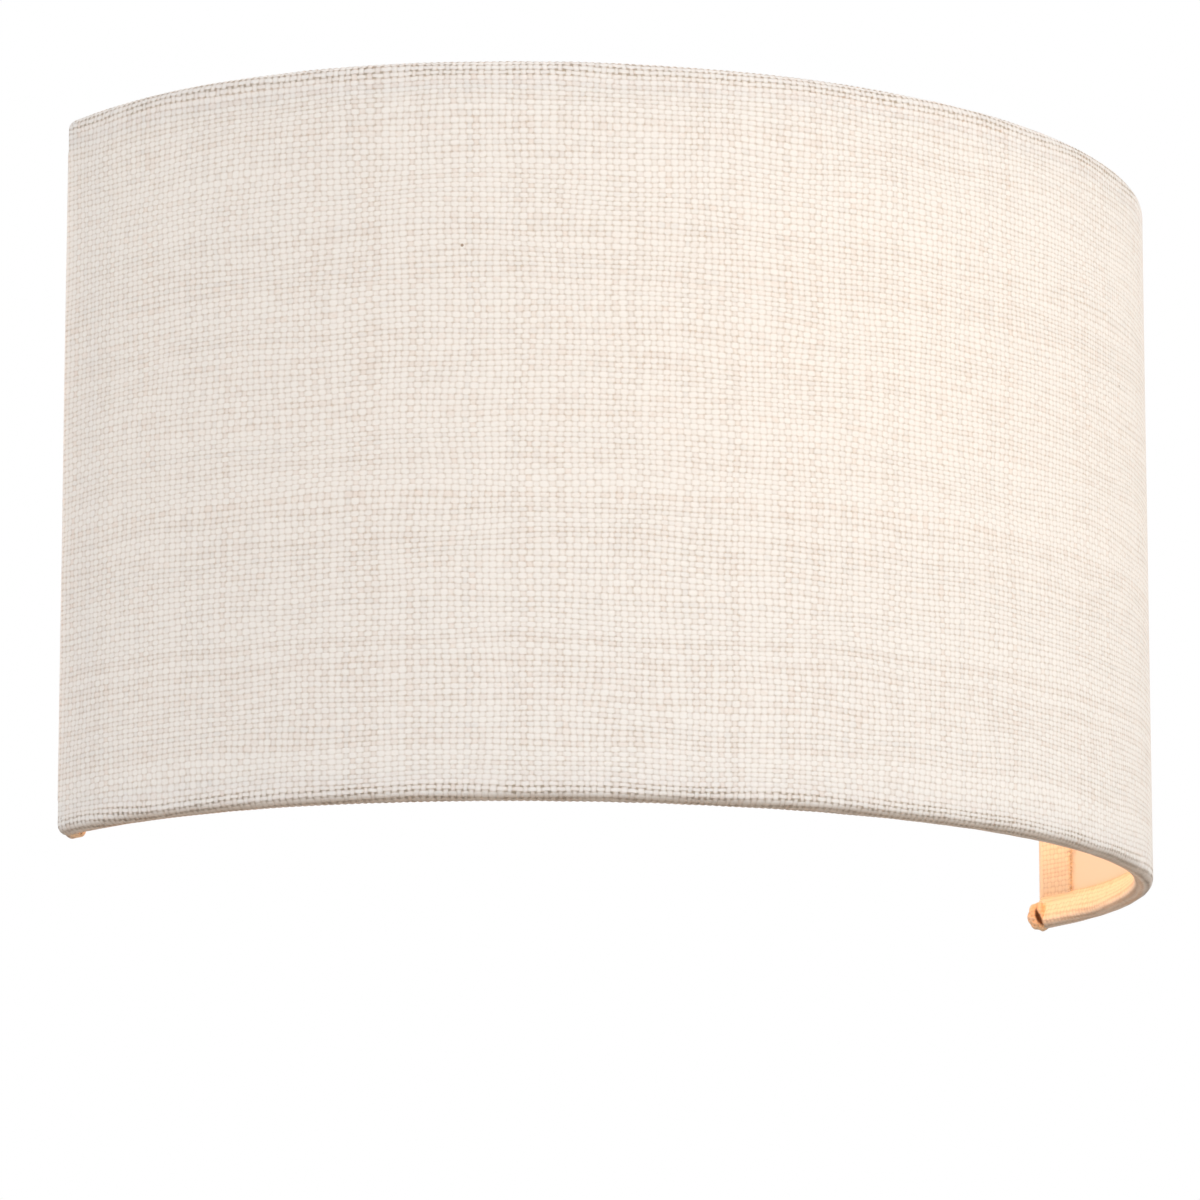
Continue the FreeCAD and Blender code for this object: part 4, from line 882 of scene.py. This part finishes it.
coats = {}
for name, (colour, stained, size, low, high, depth, coat, specular, wearers) in COATED.items():
    t = Finish(name)
    group = grained(t, size, low, high)
    mottle = t.blend(t.times(group["Height"], 0.25), colour, stained)
    shown = t.blend(t.times(group["Stain"], 0.55), mottle, stained)
    gloss = {"Coat Weight": coat, "Coat Roughness": 0.12, "Specular IOR Level": specular}
    normal = t.bump(group["Height"], 0.5, depth * MM)
    shown = t.skin(shown, group["Roughness"], {"Normal": normal, **gloss})
    coats[name] = t.shows(t.unshadowed(shown) if name in UNSHADOWED else shown)
    dress_nodes(coats[name], wearers)
dress(weld_beads, coats["white powder coat"])
dress(lampholder_lead, coats["white flex sheath"])
print("coated and moulded finishes given")

# %% [markdown]
# Two finishes have two colours. The earth core is green with a yellow stripe along it, and the short cores inside the
# holder are one brown and one blue. Both are told apart by where they are, with a crisp step on one axis.

# %% Two-coloured cores
GREEN, YELLOW = (0.045, 0.27, 0.06), (0.80, 0.62, 0.05)
BROWN, BLUE = COATED["brown core sheath"][0], COATED["blue core sheath"][0]
STAINED = (0.72, 0.72, 0.72)
STEP = 0.2 * MM  # half the width of a change of colour


def build_two_colours(name, axis, edge, below, above):
    t = Finish(name)
    group = grained(t, 1500.0, 0.32, 0.50)
    across = t.node("SeparateXYZ", {}, {"Vector": t.place()})[axis]
    colour = t.blend(t.band(across, edge - STEP, edge + STEP, way="LINEAR"), below, above)
    colour = t.blend(group["Stain"], colour, STAINED, "MULTIPLY")
    normal = t.bump(group["Height"], 0.4, 0.03 * MM)
    return t.shows(t.skin(colour, group["Roughness"], {"Normal": normal}))


earth_low, earth_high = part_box("earth_wire")
earth_middle = (earth_low.y + earth_high.y) / 2
dress_nodes(build_two_colours("green and yellow sheath", "Y", earth_middle, GREEN, YELLOW), "earth_wire")
dress_nodes(build_two_colours("brown and blue cores", "X", 0.0, BROWN, BLUE), "holder_cores")
print("two-coloured cores given")

# %% [markdown]
# Bare metal is told by its lines. The strap and the screws are zinc plated, the nut, the screw shell and the earth
# parts are brass, and the rivets and the lamp's cap are aluminium. Lines run along the way each was drawn or turned,
# and patches of wear change the gloss.

# %% Bare metals
# name: bright colour, dull colour, how the lines are stretched, roughness low and high, lines to a metre, depth in mm,
# and the CAD nodes that have it
METALS = {
    "zinc plate drawn along": [
        (0.74, 0.75, 0.77), (0.50, 0.50, 0.49), (0.06, 1.0, 1.0), 0.24, 0.46, 1500.0, 0.02,
        "wall_strap backplate_screws earth_tag",
    ],
    "zinc plate turned": [
        (0.72, 0.73, 0.75), (0.47, 0.47, 0.46), (1.0, 1.0, 4.0), 0.22, 0.42, 1500.0, 0.02,
        "threaded_nipple nipple_washer terminal_screws terminal_block_screw holder_terminal_screws",
    ],
    "brass": [
        (0.80, 0.60, 0.30), (0.47, 0.33, 0.15), (1.0, 1.0, 3.0), 0.20, 0.44, 1500.0, 0.02,
        "nipple_nut earth_screw earth_washer holder_screw_shell holder_tongue terminal_tubes",
    ],
    "aluminium": [
        (0.80, 0.80, 0.81), (0.60, 0.60, 0.60), (1.0, 1.0, 5.0), 0.24, 0.42, 1500.0, 0.02,
        "hook_rivets bracket_rivets bulb_cap",
    ],
    "tinned contact": [
        (0.66, 0.65, 0.63), (0.42, 0.41, 0.39), (1.0, 1.0, 1.0), 0.28, 0.55, 500.0, 0.1,
        "bulb_contact",
    ],
}

for name, (bright, dull, stretch, low, high, size, depth, wearers) in METALS.items():
    t = Finish(name)
    values = {"Place": t.place(), "Size": size, "Stretch": stretch}
    lines = t.node("Group", {"node_tree": drawn_lines}, values)
    worn = t.band(lines["Wear"], 0.42, 0.70)
    colour = t.blend(t.times(lines["Line"], 0.35), bright, dull)
    colour = t.blend(t.times(worn, 0.55), colour, dull)
    both = t.plus(t.times(worn, 0.6), t.times(lines["Line"], 0.4))
    normal = t.bump(lines["Line"], 0.35, depth * MM)
    metal = t.skin(colour, t.plus(low, t.times(both, high - low)), {"Normal": normal, "Metallic": 1.0})
    dress_nodes(t.shows(metal), wearers)
print("bare metals given")

# %% [markdown]
# The globe is milky glass, lit from within. Its glow is strongest where the bulb's small board faces it and weaker
# near the collar. For shadow rays it is clear, and so are the board and its lights behind the milk, because a soft
# point light lights the shade: a lit mesh would give the same light with far more speckle. That light stands a little
# low and weakens with the distance, not with its square, so that the fittings close to it keep their detail.

# %% The lamp
LAMP_CENTRE = Vector((0, -68.0, 8.0)) * MM
LAMP_POWER = 0.89
LAMP_COLOUR = (1.0, 0.45, 0.17)
LAMP_SOFT = 40.0 * MM
LAMP_EVEN = 9.0  # strength of the fall-off with the distance, one over metres
GLOW = (1.0, 0.83, 0.60)
GLOW_STRENGTH = 0.75
MILK_DULL, MILK_PALE = (0.86, 0.85, 0.82), (0.90, 0.89, 0.86)


def build_globe():
    t = Finish("opal globe")
    place = t.place()
    milk = t.noise(place, 160.0, 3.0)
    up = t.band(t.node("SeparateXYZ", {}, {"Vector": place})["Z"], 12.0 * MM, 40.0 * MM, 0.55, 1.0)
    level = t.times(up, t.plus(0.94, t.times(milk, 0.12)))
    glow = t.node("CombineColor", {}, {"Red": level, "Green": level, "Blue": level})[0]
    glow = {"Emission Color": t.blend(1.0, glow, GLOW, "MULTIPLY"), "Emission Strength": GLOW_STRENGTH}
    rough = t.plus(0.22, t.times(milk, 0.16))
    glass = t.skin(t.blend(milk, MILK_DULL, MILK_PALE), rough, {"Coat Weight": 0.4, **glow})
    t.material.cycles.emission_sampling = "NONE"
    return t.shows(t.unshadowed(glass))


dress_nodes(build_globe(), "bulb_globe")
lamp_data = bpy.data.lights.new("lamp", "POINT")
lamp_data.energy = LAMP_POWER
lamp_data.color = LAMP_COLOUR
lamp_data.shadow_soft_size = LAMP_SOFT
lamp_data.use_nodes = True
t = Sketch(lamp_data.node_tree)
even = t.node("LightFalloff", {}, {"Strength": LAMP_EVEN})["Linear"]
t.node("OutputLight", {}, {"Surface": t.node("Emission", {}, {"Strength": even})[0]})
lamp_light = bpy.data.objects.new("lamp", lamp_data)
lamp_light.location = LAMP_CENTRE
scene.collection.objects.link(lamp_light)
lamp_light.visible_camera = False
lamp_light.visible_glossy = False
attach(lamp_light, "lamp")
print("lamp: %.2f W at" % LAMP_POWER, [round(x, 4) for x in LAMP_CENTRE])

# %% [markdown]
# The studio is plain: an even pale surround, one large soft panel ahead and to the right, a weaker one from the left,
# and a pale floor. The background is pure white to the camera, in reflections and through glass only, so that it adds
# no light to the cloth. The floor is seen from above and not from below, because this light is also looked at from
# underneath.

# %% The studio
AIM = Vector((0, -0.06, 0))  # the middle of the shade
SURROUND, SURROUND_STRENGTH = (0.985, 0.985, 1.0), 0.675
FLOOR_Z, FLOOR_SIZE = -0.60, 4.0
FLOOR_DULL, FLOOR_PALE = (0.80, 0.80, 0.79), (0.84, 0.84, 0.83)


def soft_panel(name, place, size, power, colour):
    """A square area light, in metres and watts, that faces the shade."""
    data = bpy.data.lights.new(name, "AREA")
    data.size = size
    data.energy = power
    data.color = colour
    panel = bpy.data.objects.new(name, data)
    panel.location = place
    panel.rotation_mode = "QUATERNION"
    panel.rotation_quaternion = (AIM - Vector(place)).to_track_quat("-Z", "Y")
    scene.collection.objects.link(panel)
    panel.visible_camera = False


soft_panel("key panel", (0.95, -1.55, 0.85), 1.1, 12.3, (1.0, 0.98, 0.955))
soft_panel("fill panel", (-1.5, -0.9, 0.45), 1.3, 7.6, (0.985, 0.98, 0.995))

world = bpy.data.worlds.new("studio")
scene.world = world
world.use_nodes = True
t = Sketch(world.node_tree)
lighting = t.node("Background", {}, {"Color": SURROUND, "Strength": SURROUND_STRENGTH})[0]
backdrop = t.node("Background", {}, {"Color": (1, 1, 1), "Strength": 1.0})[0]
rays = t.node("LightPath")
seen = t.sum("MAXIMUM", rays["Is Camera Ray"], rays["Is Glossy Ray"])
seen = t.sum("MAXIMUM", seen, rays["Is Transmission Ray"])
t.node("OutputWorld", {}, {"Surface": t.mix(seen, lighting, backdrop)})

floor_mesh = bmesh.new()
bmesh.ops.create_grid(floor_mesh, x_segments=2, y_segments=2, size=FLOOR_SIZE)
bmesh.ops.translate(floor_mesh, vec=(0, 0, FLOOR_Z), verts=floor_mesh.verts)
floor = into_object(floor_mesh, "floor")
t = Finish("pale floor")
matt = t.skin(t.blend(t.noise(t.place(), 3.0, 3.0), FLOOR_DULL, FLOOR_PALE), 0.9, {})
dress(floor, t.shows(t.mix(t.node("NewGeometry")["Backfacing"], matt, t.clear())))

scene.view_settings.view_transform = "Standard"
print("studio: two panels, a surround and a floor at %.2f m" % FLOOR_Z)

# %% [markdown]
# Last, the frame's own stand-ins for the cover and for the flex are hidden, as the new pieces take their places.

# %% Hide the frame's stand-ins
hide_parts("shade_cover")
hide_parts("lampholder_flex")
